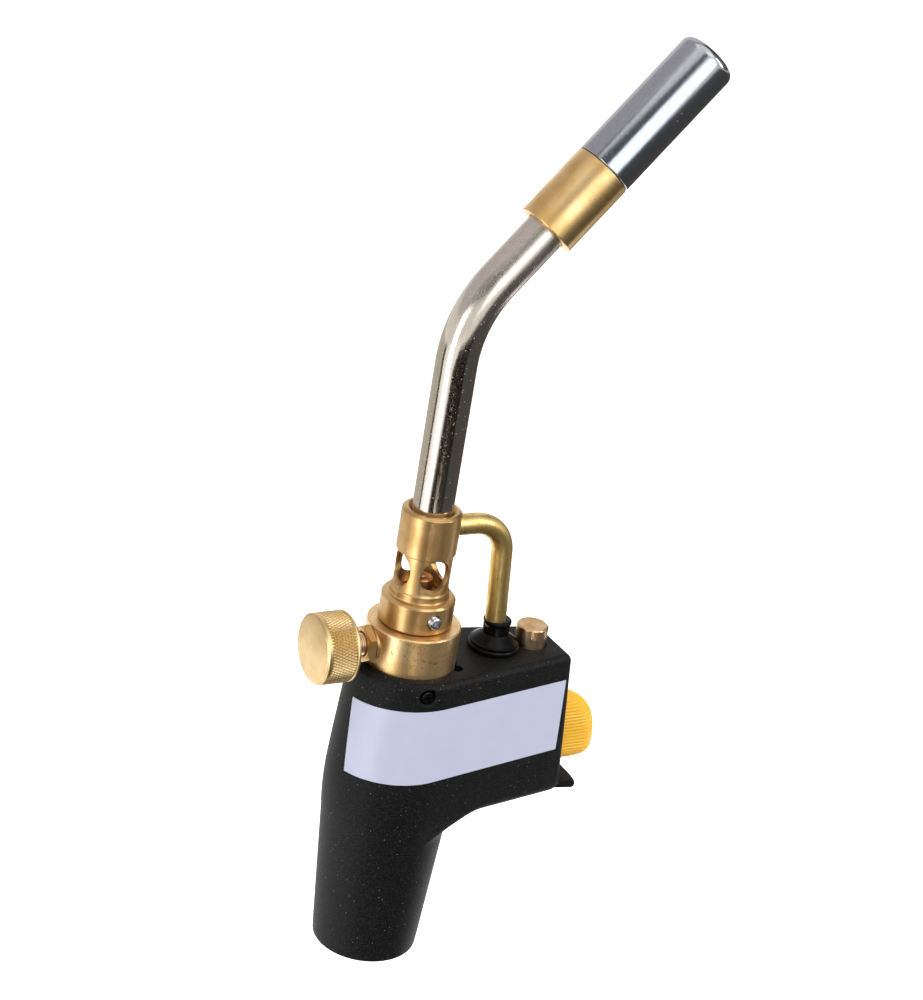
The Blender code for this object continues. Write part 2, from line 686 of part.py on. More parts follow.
def make_housing(finishes):
    housing = housing_shell(finishes["housing_plastic"])
    join(housing, guard_lip())
    bore_top = UNDERSIDE_Z + HEAD_FLOOR_WALL + CUT_OVERRUN
    bore = turned("barrel_bore", [(0, bore_top), (barrel_radius(bore_top) - WALL, bore_top),
                                  (barrel_radius(0) - WALL, 0),
                                  (barrel_radius(0) - WALL, -CUT_OVERRUN), (0, -CUT_OVERRUN)],
                  steps=FINE_SIDES)
    collar_hole = cylinder("collar_hole", COLLAR_RADIUS + FIT_GAP, NECK_HEIGHT * 2,
                           (0, 0, HEAD_TOP_Z), sides=FINE_SIDES)
    notch_reach = COLLAR_RADIUS + NOTCH_RADIUS / 2
    notch = cylinder("collar_notch", NOTCH_RADIUS, NOTCH_DEPTH * 2,
                     (notch_reach * math.cos(NOTCH_ANGLE), notch_reach * math.sin(NOTCH_ANGLE), HEAD_TOP_Z),
                     sides=TINY_SIDES)
    grommet_hole = cylinder("grommet_hole", GROMMET_NECK_RADIUS + FIT_GAP, HEAD_TOP_WALL * 4,
                            (GROMMET_X, 0, HEAD_TOP_Z), sides=SMALL_SIDES)
    lock_hole = cylinder("lock_hole", LOCK_RADIUS + RUNNING_GAP, HEAD_TOP_WALL * 4, (LOCK_X, 0, HEAD_TOP_Z),
                         sides=ROUND_SIDES)
    stem_hole = cylinder("stem_hole", LOCK_STEM_RADIUS + RUNNING_GAP, LOCK_LEDGE_THICKNESS * 3,
                         (LOCK_X, 0, LEDGE_TOP_Z - LOCK_LEDGE_THICKNESS / 2), sides=TINY_SIDES)
    cradle_length = CHANNEL_FRONT_X - LOWER_BODY_RADIUS
    cradle_bore = cylinder("cradle_bore", PIEZO_RADIUS + FIT_GAP, cradle_length,
                           (LOWER_BODY_RADIUS + cradle_length / 2, 0, PIEZO_AXIS_Z), (1, 0, 0), sides=SMALL_SIDES)
    cut(housing, head_hollow(), bore, collar_hole, notch, grommet_hole, lock_hole, stem_hole, cradle_bore)
    cut(housing, trigger_window(), *side_screw_holes())
    return housing


def trigger_window():
    """Opening in the front wall that the trigger slides through."""
    corner = TRIGGER_EDGE_RADIUS + RUNNING_GAP
    half = TRIGGER_HALF_WIDTH + RUNNING_GAP - corner
    low = TRIGGER_LOW_Z - RUNNING_GAP + corner
    high = TRIGGER_HIGH_Z + RUNNING_GAP - corner
    steps = 5
    outline = []
    for quarter, (y, z) in enumerate(((half, high), (-half, high), (-half, low), (half, low))):
        for step in range(steps + 1):
            turn = math.pi / 2 * (quarter + step / steps)
            outline.append((y + corner * math.cos(turn), z + corner * math.sin(turn)))
    ends = (CHANNEL_FRONT_X - CUT_OVERRUN, HEAD_BOTTOM_REACH + LIP_REACH + CUT_OVERRUN)
    return skin_rows("trigger_window", [[(x, y, z) for y, z in outline] for x in ends])


def radial(angle):
    return Vector((math.cos(angle), math.sin(angle), 0))


def side_screw_holes():
    """Counterbore for the screw's head and the clearance hole in the neck."""
    out = radial(SIDE_SCREW_ANGLE)
    shelf = COLLAR_RADIUS + FIT_GAP + SIDE_SCREW_SHELF
    level = Vector((0, 0, SIDE_SCREW_Z))
    reach = HEAD_TOP_RADIUS + CUT_OVERRUN - shelf
    head = cylinder("screw_counterbore", SIDE_SCREW_HEAD_RADIUS + FIT_GAP, reach,
                    level + out * (shelf + reach / 2), out, sides=SMALL_SIDES)
    shank = cylinder("screw_clearance", SIDE_SCREW_RADIUS + FIT_GAP, SIDE_SCREW_SHELF * 4,
                     level + out * (shelf - SIDE_SCREW_SHELF), out, sides=TINY_SIDES)
    return head, shank


# Valve body and what screws into it

def make_valve_body(finishes):
    neck_bottom = SOCKET_ROOF_Z + FIT_GAP
    chamfer = COLLAR_CHAMFER
    profile = [
        (0, SPIGOT_TOP_Z),
        (SPIGOT_RADIUS - chamfer, SPIGOT_TOP_Z),
        (SPIGOT_RADIUS, SPIGOT_TOP_Z - chamfer),
        (SPIGOT_RADIUS, COLLAR_TOP_Z),
        (COLLAR_RADIUS - chamfer, COLLAR_TOP_Z),
        (COLLAR_RADIUS, COLLAR_TOP_Z - chamfer),
        (COLLAR_RADIUS, COLLAR_BOTTOM_Z + chamfer),
        (COLLAR_RADIUS - chamfer, COLLAR_BOTTOM_Z),
        (LOWER_BODY_RADIUS, COLLAR_BOTTOM_Z),
        (LOWER_BODY_RADIUS, LOWER_BODY_BOTTOM_Z + chamfer),
        (LOWER_BODY_RADIUS - chamfer, LOWER_BODY_BOTTOM_Z),
        (VALVE_NECK_RADIUS, LOWER_BODY_BOTTOM_Z),
        (VALVE_NECK_RADIUS, neck_bottom + chamfer),
        (VALVE_NECK_RADIUS - chamfer, neck_bottom),
        (0, neck_bottom),
    ]
    body = turned("valve_body", profile, finishes["turned_brass"], steps=FINE_SIDES)
    pad = cylinder("gland_pad", GLAND_PAD_RADIUS, COLLAR_RADIUS / 2,
                   (gland_face_x() + COLLAR_RADIUS / 4, 0, KNOB_AXIS_Z),
                   (1, 0, 0), sides=ROUND_SIDES)
    boss_length = SIDE_BOSS_LENGTH + LOWER_BODY_RADIUS / 2
    boss = cylinder("plunger_boss", SIDE_BOSS_RADIUS, boss_length,
                    (LOWER_BODY_RADIUS + SIDE_BOSS_LENGTH - boss_length / 2, 0, PLUNGER_AXIS_Z), (1, 0, 0), sides=SMALL_SIDES)
    join(body, pad, boss)
    gas_length = SPIGOT_TOP_Z - neck_bottom + CUT_OVERRUN * 2
    gas = cylinder("gas_bore", GAS_BORE_RADIUS, gas_length, (0, 0, (SPIGOT_TOP_Z + neck_bottom) / 2), sides=TINY_SIDES)
    pin_depth = FIT_GAP + PIN_FLANGE_THICKNESS + FIT_GAP + FILTER_THICKNESS + FIT_GAP
    pin_bore = cylinder("pin_bore", PIN_FLANGE_RADIUS + FIT_GAP, pin_depth * 2, (0, 0, neck_bottom), sides=SMALL_SIDES)
    jet_bore = cylinder("jet_bore", JET_SHANK_RADIUS + FIT_GAP, (JET_SHANK_LENGTH + FIT_GAP) * 2,
                        (0, 0, SPIGOT_TOP_Z), sides=TINY_SIDES)
    gland_floor = gland_end_x() + FIT_GAP + STEM_SEAL_THICKNESS + FIT_GAP
    gland_bore = bar_x("gland_bore", GLAND_SHANK_RADIUS + FIT_GAP, -COLLAR_RADIUS - CUT_OVERRUN, gland_floor,
                       KNOB_AXIS_Z, SMALL_SIDES)
    needle_bore = bar_x("needle_bore", NEEDLE_RADIUS + FIT_GAP, gland_floor - CUT_OVERRUN, GAS_BORE_RADIUS,
                        KNOB_AXIS_Z, TINY_SIDES)
    chamber = bar_x("valve_chamber", PLUNGER_HEAD_RADIUS + FIT_GAP,
                    boss_face_x() - VALVE_CHAMBER_DEPTH, boss_face_x() + CUT_OVERRUN, PLUNGER_AXIS_Z, TINY_SIDES)
    out = radial(SIDE_SCREW_ANGLE)
    tapped = cylinder("screw_tapping", SIDE_SCREW_RADIUS + FIT_GAP, SIDE_SCREW_GRIP * 2,
                      out * COLLAR_RADIUS + Vector((0, 0, SIDE_SCREW_Z)), out, sides=TINY_SIDES)
    return cut(body, gas, pin_bore, jet_bore, gland_bore, needle_bore, chamber, tapped)


def bar_x(name, radius, low_x, high_x, z, sides, finish=None):
    """Round bar along X between two places."""
    return cylinder(name, radius, high_x - low_x, ((low_x + high_x) / 2, 0, z), (1, 0, 0), finish, sides)


def boss_face_x():
    return LOWER_BODY_RADIUS + SIDE_BOSS_LENGTH


def gland_face_x():
    """Face of the pad that the gland nut seats on."""
    return -COLLAR_RADIUS - GLAND_PAD_STANDOUT


def gland_end_x():
    """Inner end of the gland nut's shank."""
    return gland_face_x() - FIT_GAP + GLAND_SHANK_LENGTH


def make_socket(finishes):
    outer = SOCKET_BORE_RADIUS + SOCKET_WALL
    roof_top = SOCKET_ROOF_Z + SOCKET_ROOF
    hub_top = roof_top + SOCKET_HUB_HEIGHT
    bore = VALVE_NECK_RADIUS + FIT_GAP
    chamfer = SOCKET_CHAMFER
    profile = [
        (bore, hub_top),
        (SOCKET_HUB_RADIUS - chamfer, hub_top),
        (SOCKET_HUB_RADIUS, hub_top - chamfer),
        (SOCKET_HUB_RADIUS, roof_top),
        (outer - chamfer, roof_top),
        (outer, roof_top - chamfer),
        (outer, SOCKET_MOUTH_Z + chamfer),
        (outer - chamfer, SOCKET_MOUTH_Z),
        (SOCKET_BORE_RADIUS + chamfer, SOCKET_MOUTH_Z),
        (SOCKET_BORE_RADIUS, SOCKET_MOUTH_Z + chamfer),
        (SOCKET_BORE_RADIUS, SOCKET_ROOF_Z),
        (bore, SOCKET_ROOF_Z),
    ]
    return turned("cylinder_socket", profile, finishes["turned_brass"], bored=True)


def ring(name, inner, outer, low, high, finish, steps):
    """Plain turned ring, such as a washer."""
    return turned(name, [(inner, high), (outer, high), (outer, low), (inner, low)], finish, steps, bored=True)


def seal_ring(name, inner, width, low, high, finish, steps=SMALL_SIDES):
    """Ring with rounded outer and inner sides, for an o-ring squeezed in its groove."""
    middle = (low + high) / 2
    half = (high - low) / 2
    share = 0.55
    profile = [
        (inner + width * (1 - share) / 2, high),
        (inner + width * (1 + share) / 2, high),
        (inner + width, middle + half * share),
        (inner + width, middle - half * share),
        (inner + width * (1 + share) / 2, low),
        (inner + width * (1 - share) / 2, low),
        (inner, middle - half * share),
        (inner, middle + half * share),
    ]
    return turned(name, profile, finish, steps, bored=True)


def make_inlet(finishes):
    roof = SOCKET_ROOF_Z
    seal = ring("socket_seal", SEAL_HOLE_RADIUS, SOCKET_BORE_RADIUS - FIT_GAP, roof - FIT_GAP - SEAL_THICKNESS,
                roof - FIT_GAP, finishes["black_rubber"], ROUND_SIDES)
    flange_low = PIN_SEAT_Z + FIT_GAP
    flange_high = flange_low + PIN_FLANGE_THICKNESS
    tip_low = flange_low - PIN_LENGTH
    pin = turned("inlet_pin", [(0, flange_high), (PIN_FLANGE_RADIUS, flange_high), (PIN_FLANGE_RADIUS, flange_low),
                               (PIN_TIP_RADIUS, flange_low), (PIN_TIP_RADIUS, tip_low + PIN_TIP_RADIUS),
                               (PIN_TIP_RADIUS / 2, tip_low), (0, tip_low)], finishes["turned_brass"], TINY_SIDES)
    port_place = (PIN_FLANGE_RADIUS + PIN_TIP_RADIUS) / 2
    for number, side in enumerate((1, -1)):
        port = cylinder("pin_port_%d" % number, PIN_PORT_RADIUS, PIN_FLANGE_THICKNESS * 3,
                        (side * port_place, 0, flange_low + PIN_FLANGE_THICKNESS / 2), sides=TINY_SIDES)
        cut(pin, port)
    filter_low = flange_high + FIT_GAP
    disc = cylinder("inlet_filter", PIN_FLANGE_RADIUS, FILTER_THICKNESS, (0, 0, filter_low + FILTER_THICKNESS / 2),
                    finish=finishes["turned_brass"])
    return seal, pin, disc


def make_side_screw(finishes):
    """Recessed screw with a hexagon socket."""
    out = radial(SIDE_SCREW_ANGLE)
    seat = COLLAR_RADIUS + FIT_GAP + SIDE_SCREW_SHELF + FIT_GAP
    level = Vector((0, 0, SIDE_SCREW_Z))
    tip = COLLAR_RADIUS - SIDE_SCREW_GRIP + FIT_GAP
    top = SIDE_SCREW_HEAD_HEIGHT
    profile = [(0, top), (SIDE_SCREW_HEAD_RADIUS, top), (SIDE_SCREW_HEAD_RADIUS, 0), (SIDE_SCREW_RADIUS, 0),
               (SIDE_SCREW_RADIUS, tip - seat), (0, tip - seat)]
    screw = turned("housing_screw", profile, finishes["bright_steel"], TINY_SIDES)
    screw.location = level + out * seat
    screw.rotation_euler = Vector((0, 0, 1)).rotation_difference(out).to_euler()
    recess = cylinder("side_screw_recess", SIDE_SCREW_RADIUS * 3 / 4, SIDE_SCREW_HEAD_HEIGHT,
                      level + out * (seat + top), out, sides=6)
    return cut(screw, recess)


# Control valve towards -X

def axis_x_turned(name, profile, x, z, finish, steps, bored=False):
    """Turned piece whose own +Z points along world -X, placed on an X axis."""
    made = turned(name, profile, finish, steps, bored)
    made.location = (x, 0, z)
    made.rotation_euler = (0, -math.pi / 2, 0)
    return made


def make_control(finishes):
    face = gland_face_x() - FIT_GAP
    bore = STEM_RADIUS + RUNNING_GAP
    round_radius = GLAND_NUT_FLATS / 2
    corner = GLAND_NUT_FLATS / 2 / math.cos(math.pi / 6)
    nut_profile = [
        (bore, GLAND_NUT_HEIGHT),
        (round_radius - GLAND_NUT_CHAMFER / 4, GLAND_NUT_HEIGHT),
        (corner + FIT_GAP, GLAND_NUT_HEIGHT - GLAND_NUT_CHAMFER),
        (corner + FIT_GAP, 0),
        (GLAND_SHANK_RADIUS, 0),
        (GLAND_SHANK_RADIUS, -GLAND_SHANK_LENGTH),
        (bore, -GLAND_SHANK_LENGTH),
    ]
    nut = axis_x_turned("gland_nut", nut_profile, face, KNOB_AXIS_Z, finishes["turned_brass"], ROUND_SIDES, bored=True)
    hexagon = cylinder("gland_hexagon", corner, (GLAND_NUT_HEIGHT + GLAND_SHANK_LENGTH) * 3,
                       (face, 0, KNOB_AXIS_Z), (-1, 0, 0), sides=6)
    hexagon.rotation_euler.rotate_axis("Z", GLAND_NUT_TURN)
    combine(nut, hexagon, "INTERSECT")
    seal_high = gland_end_x() + FIT_GAP + STEM_SEAL_THICKNESS
    seal = seal_ring("stem_seal", NEEDLE_RADIUS + FIT_GAP, GLAND_SHANK_RADIUS - NEEDLE_RADIUS - FIT_GAP,
                     0, STEM_SEAL_THICKNESS, finishes["black_rubber"])
    seal.location = (seal_high, 0, KNOB_AXIS_Z)
    seal.rotation_euler = (0, -math.pi / 2, 0)
    knob_front = KNOB_BACK_X - KNOB_LENGTH
    stem_out = -(knob_front + KNOB_FACE_WALL + FIT_GAP)
    shoulder = -(gland_end_x() - FIT_GAP)
    needle_end = shoulder - NEEDLE_LENGTH - STEM_SEAL_THICKNESS
    stem_profile = [
        (0, stem_out),
        (STEM_RADIUS - FIT_GAP, stem_out),
        (STEM_RADIUS, stem_out - FIT_GAP),
        (STEM_RADIUS, shoulder),
        (NEEDLE_RADIUS, shoulder),
        (NEEDLE_RADIUS, needle_end + NEEDLE_CONE),
        (NEEDLE_RADIUS / 3, needle_end),
        (0, needle_end),
    ]
    stem = axis_x_turned("control_stem", stem_profile, 0, KNOB_AXIS_Z, finishes["turned_brass"], SMALL_SIDES)
    hole = STEM_RADIUS + FIT_GAP
    chamfer = KNOB_CHAMFER
    knob_profile = [
        (0, KNOB_LENGTH),
        (KNOB_RADIUS - chamfer, KNOB_LENGTH),
        (KNOB_RADIUS, KNOB_LENGTH - chamfer),
        (KNOB_RADIUS, KNOB_LENGTH - KNOB_RIM),
        (KNOB_RADIUS + KNURL_STANDOUT, KNOB_LENGTH - KNOB_RIM - chamfer),
        (KNOB_RADIUS + KNURL_STANDOUT, KNOB_RIM + chamfer),
        (KNOB_RADIUS, KNOB_RIM),
        (KNOB_RADIUS, chamfer),
        (KNOB_RADIUS - chamfer, 0),
        (hole, 0),
        (hole, KNOB_LENGTH - KNOB_FACE_WALL),
        (0, KNOB_LENGTH - KNOB_FACE_WALL),
    ]
    knob = axis_x_turned("control_knob", knob_profile, KNOB_BACK_X, KNOB_AXIS_Z, finishes["turned_brass"], FINE_SIDES)
    pivot = empty("control_axis", (KNOB_BACK_X, 0, KNOB_AXIS_Z))
    carry(knob, pivot)
    carry(stem, pivot)
    return nut, seal, stem, knob


# Burner

def make_connector(finishes):
    spigot_bore = SPIGOT_RADIUS + FIT_GAP
    tube_bore = BURN_TUBE_RADIUS + FIT_GAP
    lip_bore = BURN_TUBE_RADIUS - BURN_TUBE_WALL
    spigot_room = SPIGOT_TOP_Z + FIT_GAP
    seat_low = BURN_TUBE_FOOT_Z - FIT_GAP
    chamfer = MID_COLLAR_CHAMFER
    profile = [
        (tube_bore, CONNECTOR_TOP_Z),
        (TUBE_SEAT_RADIUS - TUBE_SEAT_CHAMFER, CONNECTOR_TOP_Z),
        (TUBE_SEAT_RADIUS, CONNECTOR_TOP_Z - TUBE_SEAT_CHAMFER),
        (TUBE_SEAT_RADIUS, CHAMBER_TOP_Z),
        (CHAMBER_RADIUS, CHAMBER_TOP_Z - chamfer),
        (CHAMBER_RADIUS, CHAMBER_BOTTOM_Z),
        (STEP_RING_RADIUS, CHAMBER_BOTTOM_Z),
        (STEP_RING_RADIUS, MID_COLLAR_TOP_Z),
        (MID_COLLAR_RADIUS - chamfer, MID_COLLAR_TOP_Z),
        (MID_COLLAR_RADIUS, MID_COLLAR_TOP_Z - chamfer),
        (MID_COLLAR_RADIUS, CONNECTOR_BOTTOM_Z + chamfer),
        (MID_COLLAR_RADIUS - chamfer, CONNECTOR_BOTTOM_Z),
        (spigot_bore, CONNECTOR_BOTTOM_Z),
        (spigot_bore, spigot_room),
        (CHAMBER_BORE_RADIUS, spigot_room),
        (CHAMBER_BORE_RADIUS, CHAMBER_TOP_Z),
        (lip_bore, CHAMBER_TOP_Z),
        (lip_bore, seat_low),
        (tube_bore, seat_low),
    ]
    connector = turned("burner_connector", profile, finishes["turned_brass"], FINE_SIDES, bored=True)
    span = MID_COLLAR_RADIUS * 2 + CUT_OVERRUN
    for name, axis in (("air_holes_x", (1, 0, 0)), ("air_holes_y", (0, 1, 0))):
        cut(connector, cylinder(name, AIR_HOLE_RADIUS, span, (0, 0, AIR_HOLE_Z), axis, sides=ROUND_SIDES))
    conduit_hole = bar_x("conduit_hole", CONDUIT_RADIUS + FIT_GAP, BURN_TUBE_RADIUS - BURN_TUBE_WALL,
                         TUBE_SEAT_RADIUS + CUT_OVERRUN, CONDUIT_AXIS_Z, SMALL_SIDES)
    grub_hole = cylinder("grub_hole", GRUB_RADIUS + FIT_GAP, MID_COLLAR_RADIUS - SPIGOT_RADIUS + CUT_OVERRUN,
                         (0, -(MID_COLLAR_RADIUS + SPIGOT_RADIUS) / 2, grub_z()), (0, 1, 0), sides=TINY_SIDES)
    return cut(connector, conduit_hole, grub_hole)


def grub_z():
    return (CONNECTOR_BOTTOM_Z + MID_COLLAR_TOP_Z) / 2


def make_grub(finishes):
    outer = -(MID_COLLAR_RADIUS + GRUB_STANDOUT)
    inner = -(SPIGOT_RADIUS + FIT_GAP)
    length = inner - outer
    profile = [(0, length), (GRUB_RADIUS - FIT_GAP, length), (GRUB_RADIUS, length - FIT_GAP), (GRUB_RADIUS, FIT_GAP),
               (GRUB_RADIUS - FIT_GAP, 0), (0, 0)]
    grub = turned("connector_grub_screw", profile, finishes["bright_steel"], TINY_SIDES)
    grub.location = (0, inner, grub_z())
    grub.rotation_euler = (math.pi / 2, 0, 0)
    recess = cylinder("grub_recess", GRUB_SOCKET_RADIUS, GRUB_SOCKET_DEPTH * 2, (0, outer, grub_z()), (0, 1, 0), sides=6)
    return cut(grub, recess)


def make_jet(finishes):
    seat = SPIGOT_TOP_Z + FIT_GAP
    head_top = seat + JET_HEAD_HEIGHT
    nose_top = head_top + JET_NOSE_HEIGHT
    profile = [
        (JET_ORIFICE_RADIUS, nose_top),
        (JET_NOSE_RADIUS, nose_top),
        (JET_HEAD_RADIUS - JET_ORIFICE_RADIUS, head_top),
        (JET_HEAD_RADIUS, head_top - JET_ORIFICE_RADIUS),
        (JET_HEAD_RADIUS, seat),
        (JET_SHANK_RADIUS, seat),
        (JET_SHANK_RADIUS, seat - JET_SHANK_LENGTH),
        (JET_ORIFICE_RADIUS, seat - JET_SHANK_LENGTH),
    ]
    return turned("gas_jet", profile, finishes["turned_brass"], SMALL_SIDES, bored=True)


def bend_end():
    """Where the bend ends and the tip's straight axis begins."""
    turn = BURN_TUBE_BEND
    return Vector((BURN_TUBE_BEND_RADIUS * (1 - math.cos(turn)), 0,
                   BEND_START_Z + BURN_TUBE_BEND_RADIUS * math.sin(turn)))


def tip_direction():
    return Vector((math.sin(BURN_TUBE_BEND), 0, math.cos(BURN_TUBE_BEND)))


def burn_path(low_z, tip_length, steps):
    """Centre line of the burn tube from a height to a length past its bend."""
    points = [(0, 0, low_z)]
    points += arc_points((BURN_TUBE_BEND_RADIUS, BEND_START_Z), math.pi, -BURN_TUBE_BEND,
                         BURN_TUBE_BEND_RADIUS, steps)
    points.append(tuple(bend_end() + tip_direction() * tip_length))
    return points


def make_burn_tube(finishes):
    end = SLEEVE_START + SLEEVE_SOCKET_DEPTH - FIT_GAP
    tube = tube_mesh("burn_tube", burn_path(BURN_TUBE_FOOT_Z, end, BEND_STEPS), BURN_TUBE_RADIUS, 8,
                     finishes["tube_steel"])
    bore = tube_mesh("burn_tube_bore", burn_path(BURN_TUBE_FOOT_Z - CUT_OVERRUN, end + CUT_OVERRUN, BEND_STEPS),
                     BURN_TUBE_RADIUS - BURN_TUBE_WALL, 8)
    lead_hole = bar_x("lead_hole", LEAD_RADIUS * 2, 0, BURN_TUBE_RADIUS + CUT_OVERRUN, CONDUIT_AXIS_Z, TINY_SIDES)
    return cut(tube, bore, lead_hole)


def on_tip(made, distance):
    """Places a piece turned about its own +Z on the tip's axis, a distance past the bend."""
    made.location = bend_end() + tip_direction() * distance
    made.rotation_euler = (0, BURN_TUBE_BEND, 0)
    return made


def make_tip(finishes):
    socket = SLEEVE_SOCKET_DEPTH
    bore = BURN_TUBE_RADIUS + FIT_GAP
    web_bore = BURN_TUBE_RADIUS - BURN_TUBE_WALL
    spigot_bore = FLAME_SPIGOT_RADIUS + FIT_GAP
    edge = FIT_GAP
    sleeve_profile = [
        (spigot_bore, SLEEVE_LENGTH),
        (FLAME_TUBE_RADIUS - edge, SLEEVE_LENGTH),
        (FLAME_TUBE_RADIUS, SLEEVE_LENGTH - edge),
        (FLAME_TUBE_RADIUS, edge),
        (FLAME_TUBE_RADIUS - edge, 0),
        (bore, 0),
        (bore, socket),
        (web_bore, socket),
        (web_bore, socket + SLEEVE_WEB),
        (spigot_bore, socket + SLEEVE_WEB),
    ]
    sleeve = on_tip(turned("tip_sleeve", sleeve_profile, finishes["turned_brass"], FINE_SIDES, bored=True), SLEEVE_START)
    flame_start = SLEEVE_START + SLEEVE_LENGTH + FIT_GAP
    wall = FLAME_TUBE_WALL
    length = FLAME_TUBE_LENGTH
    rounding = FLAME_MOUTH_ROUND
    inner_neck = FLAME_SPIGOT_RADIUS - wall
    profile = []
    mouth_steps = 5
    for step in range(mouth_steps + 1):
        turn = math.pi / 2 * (1 - step / mouth_steps)
        profile.append((FLAME_TUBE_RADIUS - rounding + rounding * math.cos(turn),
                        length - rounding + rounding * math.sin(turn)))
    profile += [
        (FLAME_TUBE_RADIUS, edge),
        (FLAME_TUBE_RADIUS - edge, 0),
        (FLAME_SPIGOT_RADIUS, 0),
        (FLAME_SPIGOT_RADIUS, -FLAME_SPIGOT_LENGTH),
        (inner_neck, -FLAME_SPIGOT_LENGTH),
        (inner_neck, wall * 2),
        (FLAME_TUBE_RADIUS - wall, wall * 3),
        (FLAME_TUBE_RADIUS - wall, length - rounding),
        (FLAME_TUBE_RADIUS - rounding * 3 / 4, length - rounding / 2),
        (FLAME_TUBE_RADIUS - rounding, length - wall),
    ]
    flame = on_tip(turned("flame_tube", profile, finishes["dark_steel"], FINE_SIDES, bored=True), flame_start)
    holder_low = flame_start + wall * 3 + FIT_GAP
    hub_top = HOLDER_THICKNESS + HOLDER_HUB_HEIGHT
    hole = INSULATOR_RADIUS + FIT_GAP
    holder = turned("flame_holder", [(hole, hub_top), (HOLDER_HUB_RADIUS, hub_top),
                                     (HOLDER_HUB_RADIUS, HOLDER_THICKNESS),
                                     (FLAME_TUBE_RADIUS - wall - FIT_GAP, HOLDER_THICKNESS),
                                     (FLAME_TUBE_RADIUS - wall - FIT_GAP, 0), (hole, 0)],
                    finishes["turned_brass"], bored=True)
    on_tip(holder, holder_low)
    port_ring = (HOLDER_HUB_RADIUS + FLAME_TUBE_RADIUS - wall) / 2
    side = Vector((math.cos(BURN_TUBE_BEND), 0, -math.sin(BURN_TUBE_BEND)))
    for number in range(HOLDER_PORT_COUNT):
        angle = math.tau * number / HOLDER_PORT_COUNT
        place = bend_end() + tip_direction() * (holder_low + HOLDER_THICKNESS / 2)
        place += (side * math.cos(angle) + Vector((0, 1, 0)) * math.sin(angle)) * port_ring
        cut(holder, cylinder("holder_port_%d" % number, HOLDER_PORT_RADIUS, HOLDER_THICKNESS * 2, place,
                             tip_direction(), sides=TINY_SIDES))
    insulator_low = insulator_start()
    wire = ELECTRODE_RADIUS + FIT_GAP
    insulator = on_tip(ring("electrode_insulator", wire, INSULATOR_RADIUS, 0, INSULATOR_LENGTH,
                            finishes["ceramic"], TINY_SIDES), insulator_low)
    length = INSULATOR_LENGTH + ELECTRODE_STANDOUT
    electrode = on_tip(turned("ignition_electrode", [(0, length), (ELECTRODE_RADIUS, length - ELECTRODE_RADIUS),
                                                     (ELECTRODE_RADIUS, 0), (0, 0)],
                              finishes["bright_steel"], TINY_SIDES), insulator_low)
    return sleeve, flame, holder, insulator, electrode


def insulator_start():
    """Distance past the bend at which the insulator begins, so that its middle sits in the flame holder."""
    flame_start = SLEEVE_START + SLEEVE_LENGTH + FIT_GAP
    holder_middle = flame_start + FLAME_TUBE_WALL * 3 + FIT_GAP + HOLDER_THICKNESS / 2
    return holder_middle - INSULATOR_LENGTH * 2 / 3


# Ignition line

def conduit_points(start_x, foot_depth, steps=7):
    """Centre line of the conduit: out of the connector, round its bend and down, leaning outwards."""
    lean = CONDUIT_LEAN
    radius = CONDUIT_BEND_RADIUS
    centre_z = CONDUIT_AXIS_Z - radius
    end_z = centre_z + radius * math.sin(lean)
    end_x = GROMMET_X - (end_z - HEAD_TOP_Z) * math.tan(lean)
    centre_x = end_x - radius * math.cos(lean)
    points = [(start_x, 0, CONDUIT_AXIS_Z)]
    points += arc_points((centre_x, centre_z), math.pi / 2, -(math.pi / 2 - lean), radius, steps)
    points.append((GROMMET_X + foot_depth * math.tan(lean), 0, HEAD_TOP_Z - foot_depth))
    return points


def make_conduit(finishes):
    start = BURN_TUBE_RADIUS + FIT_GAP * 2
    tube = tube_mesh("conduit_tube", conduit_points(start, CONDUIT_FOOT_DEPTH), CONDUIT_RADIUS, 5,
                     finishes["turned_brass"])
    bore = tube_mesh("conduit_bore", conduit_points(start - CUT_OVERRUN, CONDUIT_FOOT_DEPTH + CUT_OVERRUN),
                     CONDUIT_RADIUS - CONDUIT_WALL, 5)
    return cut(tube, bore)


def make_grommet(finishes):
    seat = HEAD_TOP_Z + FIT_GAP
    disc_top = seat + GROMMET_DISC_HEIGHT
    skirt_top = disc_top + GROMMET_SKIRT_EDGE
    cone_top = skirt_top + GROMMET_CONE_HEIGHT
    neck_top = cone_top + GROMMET_NECK_HEIGHT
    under = HEAD_TOP_Z - HEAD_TOP_WALL - FIT_GAP
    foot = under - GROMMET_FOOT_HEIGHT
    groove = GROMMET_SKIRT_RADIUS - GROMMET_GROOVE
    profile = [
        (0, neck_top),
        (GROMMET_NECK_RADIUS - GROMMET_GROOVE, neck_top),
        (GROMMET_NECK_RADIUS, neck_top - GROMMET_GROOVE),
        (GROMMET_NECK_RADIUS, cone_top),
        (GROMMET_SKIRT_RADIUS - GROMMET_GROOVE, skirt_top),
        (GROMMET_SKIRT_RADIUS, skirt_top - GROMMET_GROOVE),
        (groove, disc_top),
        (GROMMET_DISC_RADIUS, disc_top - GROMMET_GROOVE),
        (GROMMET_DISC_RADIUS, seat),
        (GROMMET_NECK_RADIUS, seat),
        (GROMMET_NECK_RADIUS, under),
        (GROMMET_FOOT_RADIUS, under),
        (GROMMET_NECK_RADIUS, foot),
        (0, foot),
    ]
    grommet = turned("conduit_grommet", profile, finishes["black_rubber"])
    grommet.location = (GROMMET_X, 0, 0)
    lean = CONDUIT_LEAN
    axis = (-math.sin(lean), 0, math.cos(lean))
    bore = cylinder("grommet_bore", CONDUIT_RADIUS + FIT_GAP, HEAD_HEIGHT, (GROMMET_X, 0, HEAD_TOP_Z), axis)
    return cut(grommet, bore)


